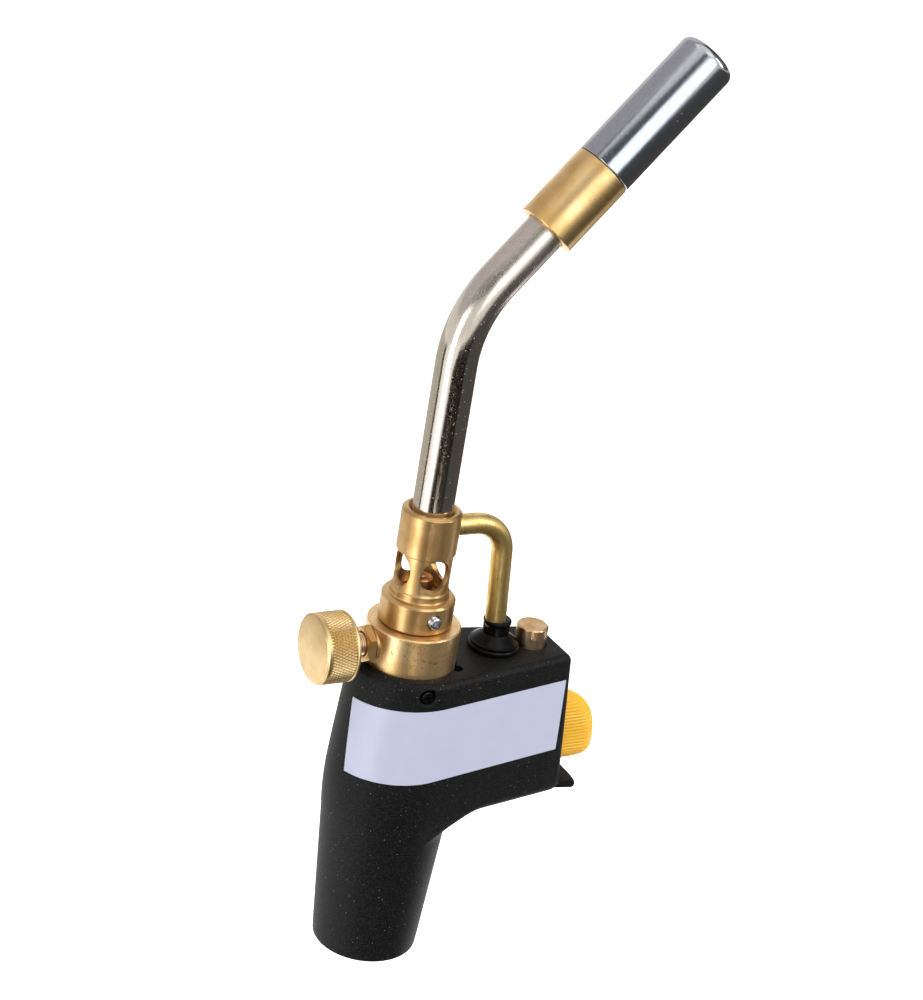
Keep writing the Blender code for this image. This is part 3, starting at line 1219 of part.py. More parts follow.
def make_piezo(finishes):
    rear = PIEZO_REAR_X
    front = rear + PIEZO_LENGTH
    body = bar_x("piezo_igniter", PIEZO_RADIUS, rear, front, PIEZO_AXIS_Z, SMALL_SIDES, finishes["igniter_plastic"])
    terminal = cylinder("piezo_terminal", PIEZO_TERMINAL_RADIUS, PIEZO_RADIUS + PIEZO_TERMINAL_HEIGHT,
                        (PIEZO_TERMINAL_X, 0, PIEZO_AXIS_Z + (PIEZO_RADIUS + PIEZO_TERMINAL_HEIGHT) / 2),
                        sides=TINY_SIDES)
    join(body, terminal)
    bore = bar_x("piezo_bore", PIEZO_PLUNGER_RADIUS + RUNNING_GAP, front - PIEZO_BORE_DEPTH, front + CUT_OVERRUN,
                 PIEZO_AXIS_Z, TINY_SIDES)
    cut(body, bore)
    plunger_rear = front - PIEZO_BORE_DEPTH + TRIGGER_TRAVEL + RUNNING_GAP
    plunger = bar_x("piezo_plunger", PIEZO_PLUNGER_RADIUS, plunger_rear, trigger_back_x() - FIT_GAP, PIEZO_AXIS_Z,
                    TINY_SIDES, finishes["bright_steel"])
    return body, plunger


def lead_route():
    """Route of the ignition lead: up from the igniter, through conduit and burn tube to the insulator."""
    start = Vector((PIEZO_TERMINAL_X, 0, PIEZO_AXIS_Z + PIEZO_RADIUS + PIEZO_TERMINAL_HEIGHT + FIT_GAP))
    conduit = conduit_points(0, CONDUIT_FOOT_DEPTH)[1:]
    foot = Vector(conduit[-1])
    lean = Vector((math.sin(CONDUIT_LEAN), 0, -math.cos(CONDUIT_LEAN)))
    reach = (foot - start).length / 2
    points = []
    steps = 12
    for step in range(steps + 1):
        share = step / steps
        rest = 1 - share
        handles = (start, start + Vector((0, 0, reach)), foot + lean * reach, foot)
        weights = (rest ** 3, 3 * rest ** 2 * share, 3 * rest * share ** 2, share ** 3)
        points.append(tuple(sum((h * w for h, w in zip(handles, weights)), Vector())))
    points += list(reversed(conduit[:-1]))
    turn = LEAD_TURN_RADIUS
    points += arc_points((turn, CONDUIT_AXIS_Z + turn), -math.pi / 2, -math.pi / 2, turn, 5)
    points += burn_path(CONDUIT_AXIS_Z + turn * 2, insulator_start() - FIT_GAP, BEND_STEPS)
    return points


def make_lead(finishes):
    return tube_mesh("ignition_lead", lead_route(), LEAD_RADIUS, 2, finishes["lead_sleeve"])


# Trigger and on/off valve

def trigger_back_x():
    """Rear face of the trigger's flange."""
    return CHANNEL_FRONT_X - FIT_GAP - TRIGGER_FLANGE_THICKNESS


def trigger_reach(z):
    """How far the trigger's crown reaches at a height: a full round, lowest in its lower part."""
    depth = TRIGGER_CROWN_X - TRIGGER_ROOT_X
    end = TRIGGER_HIGH_Z if z >= TRIGGER_MID_Z else TRIGGER_LOW_Z
    share = min((z - TRIGGER_MID_Z) / (end - TRIGGER_MID_Z), 1)
    return TRIGGER_ROOT_X + depth * (1 - share ** TRIGGER_FULLNESS) ** (1 / TRIGGER_FULLNESS)


def trigger_plan(z, inset):
    """Plan section of the trigger: straight sides and a round nose."""
    above = max(z - (TRIGGER_HIGH_Z - TRIGGER_EDGE_RADIUS), TRIGGER_LOW_Z + TRIGGER_EDGE_RADIUS - z, 0)
    drawn_in = TRIGGER_EDGE_RADIUS - math.sqrt(max(TRIGGER_EDGE_RADIUS ** 2 - above ** 2, 0))
    half = TRIGGER_HALF_WIDTH - drawn_in - inset
    nose = trigger_reach(z) - inset
    depth = min(half, nose - TRIGGER_ROOT_X + TRIGGER_HALF_WIDTH)
    centre = nose - depth
    rear = CHANNEL_FRONT_X - CUT_OVERRUN
    steps = 8
    points = []
    for step in range(steps + 1):
        turn = -math.pi / 2 + math.pi * step / steps
        points.append((centre + depth * math.cos(turn), half * math.sin(turn), z))
    points.append((rear, half, z))
    points.append((rear, -half, z))
    return points


def make_trigger(finishes):
    rows = []
    pitch = (TRIGGER_HIGH_Z - TRIGGER_LOW_Z) / TRIGGER_RIB_COUNT
    rows.append(trigger_plan(TRIGGER_LOW_Z, 0))
    for rib in range(TRIGGER_RIB_COUNT):
        low = TRIGGER_LOW_Z + pitch * rib
        rows.append(trigger_plan(low + pitch / 2, 0))
        rows.append(trigger_plan(low + pitch, TRIGGER_RIB_DEPTH if rib < TRIGGER_RIB_COUNT - 1 else 0))
    trigger = skin_rows("trigger", rows, finishes["trigger_plastic"])
    back = trigger_back_x()
    front = CHANNEL_FRONT_X - FIT_GAP
    half = CHANNEL_HALF_WIDTH - RUNNING_GAP
    high = TRIGGER_HIGH_Z + TRIGGER_FLANGE_RISE
    flange = block("trigger_flange", (back, -half, TRIGGER_LOW_Z - TRIGGER_FLANGE_DROP), (front, half, high))
    arm = block("trigger_arm", (back - TRIGGER_ARM_LENGTH, -half, high - TRIGGER_ARM_THICKNESS),
                (back + TRIGGER_FLANGE_THICKNESS / 2, half, high))
    join(trigger, flange, arm)
    slot_half = LOCK_STEM_RADIUS + RUNNING_GAP * 2
    slot = block("lock_slot", (LOCK_X - slot_half, -slot_half, high - LOCK_SLOT_DEPTH),
                 (LOCK_X + TRIGGER_TRAVEL + slot_half, slot_half, high + CUT_OVERRUN))
    cut(trigger, slot)
    slide = empty("trigger_slide", (CHANNEL_FRONT_X, 0, TRIGGER_MID_Z))
    return carry(trigger, slide)


def coil_points(radius, length, turns, per_turn=8):
    """Points of a compression spring about its own +Z, from zero up to its length."""
    count = turns * per_turn
    return [(radius * math.cos(math.tau * step / per_turn), radius * math.sin(math.tau * step / per_turn),
             length * step / count) for step in range(count + 1)]


def spring(name, radius, wire, length, turns, finish):
    """Coil spring between two planes a length apart, about its own +Z."""
    points = [(x, y, z + wire) for x, y, z in coil_points(radius, length - wire * 2, turns)]
    return tube_mesh(name, points, wire, 0, finish)


def make_on_off_valve(finishes):
    floor = boss_face_x() - VALVE_CHAMBER_DEPTH
    seal_room = PLUNGER_SEAL_THICKNESS + FIT_GAP * 2
    head_front = boss_face_x() - seal_room
    head_rear = head_front - PLUNGER_HEAD_LENGTH
    front = trigger_back_x() - FIT_GAP
    plunger = turned("valve_plunger", [(0, front), (PLUNGER_RADIUS, front), (PLUNGER_RADIUS, head_front),
                                       (PLUNGER_HEAD_RADIUS, head_front), (PLUNGER_HEAD_RADIUS, head_rear),
                                       (0, head_rear)], finishes["bright_steel"], TINY_SIDES)
    plunger.location = (0, 0, PLUNGER_AXIS_Z)
    plunger.rotation_euler = (0, math.pi / 2, 0)
    seal = seal_ring("plunger_seal", PLUNGER_RADIUS + FIT_GAP, PLUNGER_HEAD_RADIUS - PLUNGER_RADIUS - FIT_GAP,
                     0, PLUNGER_SEAL_THICKNESS, finishes["black_rubber"], TINY_SIDES)
    seal.location = (head_front + FIT_GAP, 0, PLUNGER_AXIS_Z)
    seal.rotation_euler = (0, math.pi / 2, 0)
    inner_length = head_rear - floor - FIT_GAP * 2
    inner = spring("valve_spring", PLUNGER_HEAD_RADIUS - VALVE_SPRING_WIRE * 2, VALVE_SPRING_WIRE, inner_length,
                   VALVE_SPRING_TURNS, finishes["spring_steel"])
    inner.location = (floor + FIT_GAP, 0, PLUNGER_AXIS_Z)
    inner.rotation_euler = (0, math.pi / 2, 0)
    outer_low = boss_face_x() + FIT_GAP
    outer = spring("trigger_spring", TRIGGER_SPRING_RADIUS, TRIGGER_SPRING_WIRE, front - outer_low,
                   TRIGGER_SPRING_TURNS, finishes["spring_steel"])
    outer.location = (outer_low, 0, PLUNGER_AXIS_Z)
    outer.rotation_euler = (0, math.pi / 2, 0)
    return plunger, seal, inner, outer


# Run-lock button

def make_lock(finishes):
    top = HEAD_TOP_Z + LOCK_STANDOUT
    skirt = HEAD_TOP_Z - LOCK_SKIRT
    stem_low = TRIGGER_HIGH_Z + TRIGGER_FLANGE_RISE + LOCK_STEM_CLEARANCE
    button = turned("lock_button", [
        (0, top),
        (LOCK_RADIUS - LOCK_CHAMFER, top),
        (LOCK_RADIUS, top - LOCK_CHAMFER),
        (LOCK_RADIUS, skirt),
        (LOCK_STEM_RADIUS, skirt),
        (LOCK_STEM_RADIUS, stem_low),
        (0, stem_low),
    ], finishes["turned_brass"])
    button.location = (LOCK_X, 0, 0)
    washer_top = LEDGE_TOP_Z - LOCK_LEDGE_THICKNESS - FIT_GAP
    washer = ring("lock_washer", LOCK_STEM_RADIUS + FIT_GAP, LOCK_WASHER_RADIUS, washer_top - LOCK_WASHER_THICKNESS,
                  washer_top, finishes["bright_steel"], TINY_SIDES)
    washer.location = (LOCK_X, 0, 0)
    coil = spring("lock_spring", LOCK_SPRING_RADIUS, LOCK_SPRING_WIRE, skirt - LEDGE_TOP_Z - FIT_GAP * 2,
                  LOCK_SPRING_TURNS, finishes["spring_steel"])
    coil.location = (LOCK_X, 0, LEDGE_TOP_Z + FIT_GAP)
    slide = empty("lock_slide", (LOCK_X, 0, HEAD_TOP_Z))
    carry(button, slide)
    carry(washer, slide)
    return button, washer, coil


def main():
    clear_scene()
    finishes = make_materials()
    make_housing(finishes)
    make_valve_body(finishes)
    make_socket(finishes)
    make_inlet(finishes)
    make_side_screw(finishes)
    make_control(finishes)
    make_connector(finishes)
    make_grub(finishes)
    make_jet(finishes)
    make_burn_tube(finishes)
    make_tip(finishes)
    make_conduit(finishes)
    make_grommet(finishes)
    make_piezo(finishes)
    make_lead(finishes)
    make_trigger(finishes)
    make_on_off_valve(finishes)
    make_lock(finishes)
    for made in collection(PARTS).objects:
        if made.type == "MESH":
            settle(made)


main()
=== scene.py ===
"""Dressed model of a hand gas torch for a screw-on gas cylinder.

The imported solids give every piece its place. The pieces made here have the smooth forms, the small edges
and the finishes of the real ones. Their sizes are in millimetres until finish_piece scales them to metres;
the stage and its lights are in metres throughout.
"""
import math
from functools import partial

import bmesh
import bpy
from mathutils import Matrix, Vector


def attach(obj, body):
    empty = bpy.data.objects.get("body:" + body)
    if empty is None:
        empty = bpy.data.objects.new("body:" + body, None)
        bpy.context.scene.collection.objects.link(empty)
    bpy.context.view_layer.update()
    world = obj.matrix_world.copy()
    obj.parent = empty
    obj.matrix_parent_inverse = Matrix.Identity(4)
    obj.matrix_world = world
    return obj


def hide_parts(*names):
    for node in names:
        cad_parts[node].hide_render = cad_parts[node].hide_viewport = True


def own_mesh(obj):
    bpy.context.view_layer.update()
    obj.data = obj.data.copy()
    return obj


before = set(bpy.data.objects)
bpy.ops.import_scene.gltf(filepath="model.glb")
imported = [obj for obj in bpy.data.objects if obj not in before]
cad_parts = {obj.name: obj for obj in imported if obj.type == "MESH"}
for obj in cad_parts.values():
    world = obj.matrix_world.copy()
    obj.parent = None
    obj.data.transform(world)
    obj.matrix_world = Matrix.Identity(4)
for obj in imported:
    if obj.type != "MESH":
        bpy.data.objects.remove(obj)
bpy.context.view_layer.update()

MM = 0.001
UP = Vector((0, 0, 1))
QUARTER = math.pi / 2
GAP = 0.3
RUNNING_GAP = 0.4
EDGE = 0.16

# Housing, as the solid: a tapered barrel and a head with a round rear and tapering sides
MOUTH_RADIUS = 20.2
BARREL_TOP_RADIUS = 24.5
BARREL_EDGE = 0.8
UNDERSIDE = 62.5
FILLET_RADIUS = 10.5
FILLET_RUN_IN = 6.0
UNDER_EDGE = 3.5
HEAD_TOP = 122.6
HEAD_TOP_RADIUS = 23.6
HEAD_BELLY = 1.6
REAR_SHIFT = 2.3
REAR_SHIFT_START = 0.2
TOP_REACH = 64.5
BOTTOM_REACH = 69.9
INNER_REACH = 63.4
SIDE_TAPER = math.radians(9.65)
CORNER_RADIUS = 3.0
TOP_EDGE = 2.8
WALL = 2.4
TOP_WALL = 3.6
FLOOR_WALL = 2.8
BARREL_BORE_TOP = 68.3
NECK_LOW, NECK_HIGH = 108.0, 137.0
LIP_THICKNESS = 3.2
LIP_REACH = 8.4
LIP_BOW = 0.6
LIP_DROP = 0.9
NOTCH_ANGLE = math.radians(-42.0)
NOTCH_OFFSET = 18.5
NOTCH_RADIUS = 2.5

# Steps of the head's outline, whose places the label counts in
CORNER_STEPS = 8
SIDE_STEPS = 22
HALF_REAR_STEPS = 30
LABEL_LOW, LABEL_HIGH = 82.35, 112.55

# Brass turnings on the gas axis
COLLAR_RADIUS = 17.5
COLLAR_TOP = 137.9
COLLAR_BOTTOM = 104.0
SPIGOT_TOP = 149.5
CONNECTOR_BOTTOM = 138.2
CONNECTOR_TOP = 183.6
AIR_HOLE_Z = 160.0
GRUB_Z = 143.8
PLUNGER_Z = 77.0
KNOB_Z = 130.2
KNOB_BACK = -27.15
KNOB_LENGTH = 13.6
KNOB_FACE = 2.8
KNOB_CORE = 12.8
SCREW_ANGLE = math.radians(-96.0)
SCREW_Z = 117.2
SCREW_SHANK = 1.8
DENT_ANGLE = math.radians(-141.0)
DENT_Z = 131.4
THREAD_PITCH = 25.4 / 20
THREAD_DEPTH = 0.62
THREAD_CORE = 12.1

# Tubes
TUBE_RADIUS = 7.6
TUBE_WALL = 0.9
TUBE_FOOT = 169.8
BEND_START = 239.2
BEND_RADIUS = 47.1
BEND = math.radians(41.0)
SLEEVE_START = 23.9
SLEEVE_LENGTH = 29.0
FLAME_RADIUS = 11.0
FLAME_START = SLEEVE_START + SLEEVE_LENGTH + GAP
FLAME_LENGTH = 54.9
FLAME_ROUNDING = 3.2
FLAME_WALL = 0.8
HOLDER_START = FLAME_START + 2.7
CONDUIT_Z = 175.7
CONDUIT_START = 8.2
CONDUIT_RADIUS = 4.0
CONDUIT_WALL = 0.8
CONDUIT_BEND_RADIUS = 13.5
CONDUIT_LEAN = math.radians(5.0)
CONDUIT_FOOT = 5.0
GROMMET_X = 36.2

# Trigger and lock
TRIGGER_HALF = 8.2
TRIGGER_EDGE = 7.8
TRIGGER_LOW = 70.2
TRIGGER_MID = 76.44
TRIGGER_HIGH = 98.8
TRIGGER_REAR = 58.0
TRIGGER_ROOT = 70.0
TRIGGER_CROWN = 88.25
TRIGGER_FULLNESS = 2.4
RIB_PITCH = 1.42
RIB_DEPTH = 0.5
FLANGE_BACK = 54.5
FLANGE_FRONT = 60.7
FLANGE_HALF = 9.6
IGNITER_Z = 91.5
LOCK_X = 52.5


# ---- mesh tools ----

def between(low, high, share):
    return low + (high - low) * share


def rounded(x, y, radius, first, last, steps, other=None):
    """Points of an arc round a centre in a plane, from angle to angle. Its second radius may be another one."""
    turns = [between(first, last, step / steps) for step in range(steps + 1)]
    return [(x + radius * math.cos(turn), y + (other or radius) * math.sin(turn)) for turn in turns]


def tidy(mesh):
    """Merges doubles and turns the faces outwards."""
    shape = bmesh.new()
    shape.from_mesh(mesh)
    bmesh.ops.remove_doubles(shape, verts=shape.verts, dist=1e-4)
    bmesh.ops.recalc_face_normals(shape, faces=shape.faces)
    shape.to_mesh(mesh)
    shape.free()
    return mesh


def skin(rows, closed=False, caps=True):
    """Mesh over rings of points; closed joins the last ring to the first one."""
    count = len(rows[0])
    faces = []
    for row in range(len(rows) if closed else len(rows) - 1):
        low, high = row * count, (row + 1) % len(rows) * count
        for index in range(count):
            following = (index + 1) % count
            faces.append((low + index, low + following, high + following, high + index))
    if caps and not closed:
        faces.append(tuple(reversed(range(count))))
        faces.append(tuple(range((len(rows) - 1) * count, len(rows) * count)))
    mesh = bpy.data.meshes.new("skin")
    mesh.from_pydata([point for row in rows for point in row], [], faces)
    return tidy(mesh)


def soften(profile, ease, closed):
    """Rounds the corners of a profile by a small radius, with a point either side that keeps the faces flat."""
    made = []
    count = len(profile)
    for index, point in enumerate(profile):
        here = Vector(point)
        if not closed and index in (0, count - 1):
            made.append(here)
            continue
        before = Vector(profile[index - 1]) - here
        after = Vector(profile[(index + 1) % count]) - here
        if before.length < 1e-6 or after.length < 1e-6 or before.angle(after) > math.radians(164):
            made.append(here)
            continue
        reach = min(ease, before.length / 3, after.length / 3)
        before.normalize()
        after.normalize()
        made.append(here + before * reach * 1.45)
        for step in range(4):
            share = step / 3
            made.append((here + before * reach) * (1 - share) ** 2 + here * 2 * share * (1 - share)
                        + (here + after * reach) * share ** 2)
        made.append(here + after * reach * 1.45)
    return made


def polar(radius, height, share):
    return Vector((radius * math.cos(math.tau * share), radius * math.sin(math.tau * share), height))


def lathe(profile, place=Matrix(), sides=96, bored=False, ease=EDGE):
    """Turned piece from (radius, height) points, placed by a matrix; the height runs along its own Z."""
    points = soften(profile, ease, bored) if ease else [Vector(point) for point in profile]
    rows = [[place @ polar(radius, height, step / sides) for step in range(sides)] for radius, height in points]
    return skin(rows, closed=bored, caps=False)


def facing(start, axis):
    """Places a turning whose own Z points along an axis."""
    return Matrix.Translation(start) @ UP.rotation_difference(axis).to_matrix().to_4x4()


def bar(radius, start, end, sides=64):
    """Plain round bar between two points, as a drill or a union."""
    axis = Vector(end) - Vector(start)
    profile = [(0, 0), (radius, 0), (radius, axis.length), (0, axis.length)]
    return lathe(profile, facing(start, axis), sides, ease=0)


def bar_x(radius, start, end, z, sides=64):
    return bar(radius, (start, 0, z), (end, 0, z), sides)


def bar_z(radius, x, start, end, sides=64):
    return bar(radius, (x, 0, start), (x, 0, end), sides)


def block(low, high, place=Matrix()):
    """Box between two corners, placed by a matrix."""
    corners = [(x, y) for x, y in zip((low[0], high[0], high[0], low[0]), (low[1], low[1], high[1], high[1]))]
    return skin([[place @ Vector((x, y, z)) for x, y in corners] for z in (low[2], high[2])])


def placed(name, data):
    """New object of this data, linked to the scene."""
    made = bpy.data.objects.new(name, data)
    bpy.context.scene.collection.objects.link(made)
    return made


def worked(mesh, *steps):
    """The mesh after these modifiers, each of them a kind with its settings."""
    item = placed("blank", mesh)
    for kind, settings in steps:
        step = item.modifiers.new("step", kind)
        for name, value in settings.items():
            if hasattr(step, name):
                setattr(step, name, value)
            else:
                step[name] = value
    bpy.context.view_layer.update()
    made = bpy.data.meshes.new_from_object(item.evaluated_get(bpy.context.evaluated_depsgraph_get()))
    bpy.data.objects.remove(item)
    return made


def carve(mesh, *tools, operation="DIFFERENCE"):
    """Cuts tools out of a mesh, or joins them to it."""
    extras = [placed("tool", tool) for tool in tools]
    made = worked(mesh, *[("BOOLEAN", {"operation": operation, "solver": "EXACT", "object": extra})
                          for extra in extras])
    for extra in extras:
        bpy.data.objects.remove(extra)
    return made


def merged(*meshes):
    """Several meshes as one, side by side."""
    shape = bmesh.new()
    for mesh in meshes:
        shape.from_mesh(mesh)
    made = bpy.data.meshes.new("merged")
    shape.to_mesh(made)
    shape.free()
    return made


def finish_piece(name, mesh, finish, stands_for, slot="turned_brass", body="torch_body", angle=32, unit=MM):
    """Scales, names, shades and places a finished piece, and hides the solid that it stands for."""
    mesh.transform(Matrix.Scale(unit, 4))
    mesh.name = name
    mesh.materials.clear()
    mesh.materials.append(finish)
    mesh.shade_smooth()
    mesh.set_sharp_from_angle(angle=math.radians(angle))
    made = placed(name, mesh)
    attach(made, body)
    if stands_for:
        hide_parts(stands_for)
    return made


def along_x(x, z):
    """Places a turning whose own Z points towards the rear, on an axis along X."""
    return Matrix.Translation((x, 0, z)) @ Matrix.Rotation(-QUARTER, 4, "Y")


def on_tip(distance):
    """Places a turning on the axis of the tip, a distance past the bend."""
    bend_end = Vector((BEND_RADIUS * (1 - math.cos(BEND)), 0, BEND_START + BEND_RADIUS * math.sin(BEND)))
    way = Vector((math.sin(BEND), 0, math.cos(BEND)))
    return Matrix.Translation(bend_end + way * distance) @ Matrix.Rotation(BEND, 4, "Y")


def level_way(angle):
    return Vector((math.cos(angle), math.sin(angle), 0))


# ---- materials ----

def srgb(code):
    """Linear colour from an sRGB hex value."""
    values = [int(code[at:at + 2], 16) / 255 for at in (1, 3, 5)]
    return (*[v / 12.92 if v <= 0.04045 else ((v + 0.055) / 1.055) ** 2.4 for v in values], 1.0)


def fill(made, values):
    """Gives sockets of a node their values or links, by order or by name. None leaves a socket as it is."""
    if not isinstance(values, dict):
        values = dict(enumerate(values if isinstance(values, tuple) else (values,)))
    for name, value in values.items():
        if isinstance(value, bpy.types.NodeSocket):
            made.id_data.links.new(value, made.inputs[name])
        elif value is not None:
            made.inputs[name].default_value = value


def node(tree, kind, values=(), out=0, **settings):
    """Adds a node with its values and settings, and gives one of its outputs. A kind in capitals is an
    operation of the maths node."""
    if kind.isupper():
        kind, settings = "Math", {"operation": kind}
    made = tree.nodes.new(kind if "Node" in kind else "ShaderNode" + kind)
    for name, value in settings.items():
        setattr(made, name, value)
    fill(made, values)
    return made.outputs[out] if len(made.outputs) else None


def blank_material(name):
    """Material, what adds its nodes, its shader, and the piece's own coordinates in millimetres."""
    made = bpy.data.materials.new(name)
    made.use_nodes = True
    add = partial(node, made.node_tree)
    place = add("Mapping", {"Vector": add("TexCoord", out="Object"), "Scale": (1 / MM, 1 / MM, 1 / MM)})
    return made, add, made.node_tree.nodes["Principled BSDF"], place


def coats(add, base, *layers):
    """Colour with others over it, each given as how much of it shows and its hex value."""
    tone = srgb(base)
    for share, code in layers:
        tone = add("Mix", {0: share, 6: tone, 7: srgb(code)}, 2, data_type="RGBA")
    return tone


def spots(add, place, cell, radius, share):
    """Scattered round spots: one for each cell of that size, but only in that share of the cells."""
    cells = add("TexVoronoi", {"Vector": place, "Scale": 1 / cell}).node.outputs
    near = add("MapRange", (cells["Distance"], radius / cell, radius / cell * 0.5))
    chosen = add("GREATER_THAN", (add("SeparateColor", cells["Color"]), 1 - share))
    return add("MULTIPLY", (near, chosen))


def moulded_nylon():
    """Glass-filled nylon, moulded in a spark-eroded tool: black, a fine matt grain with pale glass specks."""
    made, add, shader, place = blank_material("moulded_black_nylon")
    grain = add("TexNoise", (place, None, 1 / 0.5, 3.0, 0.6))
    tone = coats(add, "#0D0D0E", (add("TexNoise", (place, None, 1 / 14)), "#131314"),
                 (add("MapRange", (grain, 0.5, 0.72)), "#30302E"),
                 (spots(add, place, 1.7, 0.17, 0.4), "#A3A29C"))
    fill(shader, {"Base Color": tone, "Roughness": add("MapRange", (grain, 0.3, 0.7, 0.44, 0.60)),
                  "Specular IOR Level": 0.1,
                  "Normal": add("Bump", {"Height": grain, "Distance": 0.12 * MM, "Strength": 0.8})})
    return made


def turned_brass(name, light, dark, axis, roughness, drawn_out, pits, marks, scratches, valley=None):
    """Free-cutting brass off the lathe: rings of tool marks round its axis, which draw a highlight out across
    them, a satin gloss and soft tarnish."""
    made, add, shader, place = blank_material(name)
    back = axis.inverted()
    own = add("Mapping", (place, back.to_translation(), back.to_euler()))
    x, y, z = add("SeparateXYZ", own).node.outputs
    radius = add("VectorMath", add("CombineXYZ", (x, y)), "Value", operation="LENGTH")
    # Drawn coarser than the real feed marks, which would be finer than a pixel
    fine = add("TexNoise", (add("CombineXYZ", (radius, z)), None, 1 / 0.5, 2.0, 0.7))
    broad = add("TexNoise", (place, None, 1 / 9, 3.0))
    smut = add("TexNoise", (place, None, 1 / 1.6, 4.0, 0.7))
    layers = [(add("MapRange", (broad, 0.35, 0.65)), dark),
              (add("MapRange", (smut, 0.6, 0.8, 0.0, 0.2)), "#7A4E22")]
    relief = add("Bump", {"Height": fine, "Distance": 0.02 * MM, "Strength": marks})
    relief = add("Bump", {"Height": smut, "Distance": 0.03 * MM, "Strength": marks * 0.8, "Normal": relief})
    if pits:
        layers.append((spots(add, place, 1.9, 0.22, pits), "#6B4A22"))
    if scratches:
        lean = add("Mapping", (own, None, (0.9, 0.5, 0.3), (1.0, 8.0, 3.0)))
        cuts = add("MapRange", (add("TexNoise", (lean, None, 1 / 4)), 0.62, 0.67, 0.0, scratches))
        layers.append((cuts, "#A37C48"))
        relief = add("Bump", {"Height": cuts, "Distance": -0.03 * MM, "Normal": relief})
    if valley:
        # Painted shade in the valleys of a knurl, deepest at their bottoms
        low = add("MapRange", (radius, valley - 0.12, valley + 0.22, 1.0, 0.0))
        inside = add("MapRange", (radius, valley - 0.25, valley - 0.2, 0.0, 0.8))
        layers.append((add("MULTIPLY", (low, inside)), "#B0955E"))
    worn = add("ADD", (add("MapRange", (fine, 0.2, 0.8, -0.03, 0.03)),
                       add("MapRange", (broad, 0.3, 0.7, roughness - 0.03, roughness + 0.03))))
    away = add("VectorMath", (place, axis.to_translation()), operation="SUBTRACT")
    round_it = add("VectorMath", (axis.to_3x3() @ UP, away), operation="CROSS_PRODUCT")
    fill(shader, {"Base Color": coats(add, light, *layers), "Metallic": 1.0, "Roughness": worn,
                  "Normal": relief, "Tangent": add("VectorMath", round_it, operation="NORMALIZE"),
                  "Anisotropic": drawn_out, "Anisotropic Rotation": 0.25})
    return made


def drawn_steel(name, light, dark, roughness, axis, pits, depth, dulled):
    """Drawn steel tube, plated bright: a mirror with fine pits and faint marks of the draw along it. Heat from
    the flame dulls the end above the bend."""
    made, add, shader, place = blank_material(name)
    back = axis.inverted()
    own = add("Mapping", (place, back.to_translation(), back.to_euler(), (1.0, 1.0, 0.06)))
    ripple = add("TexNoise", (place, None, 1 / 0.5, 3.0, 0.7))
    holes = spots(add, place, 1.4, 0.25, pits)
    heat = add("MapRange", (add("SeparateXYZ", place, "Z"), BEND_START + 12, BEND_START + 40, 0.0, dulled))
    matt = add("ADD", (add("MapRange", (ripple, 0.35, 0.7, roughness - 0.03, roughness + 0.08)), heat))
    relief = add("Bump", {"Height": ripple, "Distance": 0.02 * MM, "Strength": depth})
    fill(shader, {
        "Base Color": coats(add, light, (add("TexNoise", (own, None, 1 / 1.2)), dark)), "Metallic": 1.0,
        # Each pit scatters light from all round, so it glints where the wall reflects the dark
        "Roughness": add("MULTIPLY_ADD", (holes, 0.5, matt)),
        "Normal": add("Bump", {"Height": holes, "Distance": -0.03 * MM, "Strength": 0.6, "Normal": relief})})
    return made


def drawn_brass(name, light, dark, roughness):
    """Drawn brass tube, annealed and bent: yellower than bar, with brown streaks of tarnish at the bend."""
    made, add, shader, place = blank_material(name)
    long = add("Mapping", {"Vector": place, "Scale": (1.0, 1.0, 0.25)})
    streak = add("TexNoise", (long, None, 1 / 2.6, 4.0, 0.65))
    fine = add("TexNoise", (place, None, 1 / 0.8))
    fill(shader, {
        "Base Color": coats(add, light, (add("MapRange", (streak, 0.38, 0.66)), dark),
                            (spots(add, place, 2.6, 0.3, 0.3), "#6D5524")),
        "Metallic": 1.0, "Roughness": add("MapRange", (streak, 0.3, 0.7, roughness - 0.05, roughness + 0.10)),
        "Normal": add("Bump", {"Height": fine, "Distance": 0.012 * MM, "Strength": 0.4})})
    return made


def simple_finish(name, light, dark, metallic, roughness, grain, depth, **more):
    """Plain finish with a soft change of tone and a fine grain. More gives other sockets of its shader."""
    made, add, shader, place = blank_material(name)
    fine = add("TexNoise", (place, None, 1 / grain, 3.0, 0.6))
    fill(shader, {
        "Base Color": coats(add, light, (add("TexNoise", (place, None, 1 / (grain * 8))), dark)),
        "Metallic": metallic, "Roughness": add("MapRange", (fine, 0.3, 0.7, roughness - 0.04, roughness + 0.05)),
        "Normal": add("Bump", {"Height": fine, "Distance": depth * MM, "Strength": 0.5})})
    fill(shader, {socket.replace("_", " "): value for socket, value in more.items()})
    return made


GAS_AXIS = Matrix()
KNOB_AXIS = along_x(0, KNOB_Z)
TIP_AXIS = on_tip(0)
LOCK_AXIS = Matrix.Translation((LOCK_X, 0, 0))

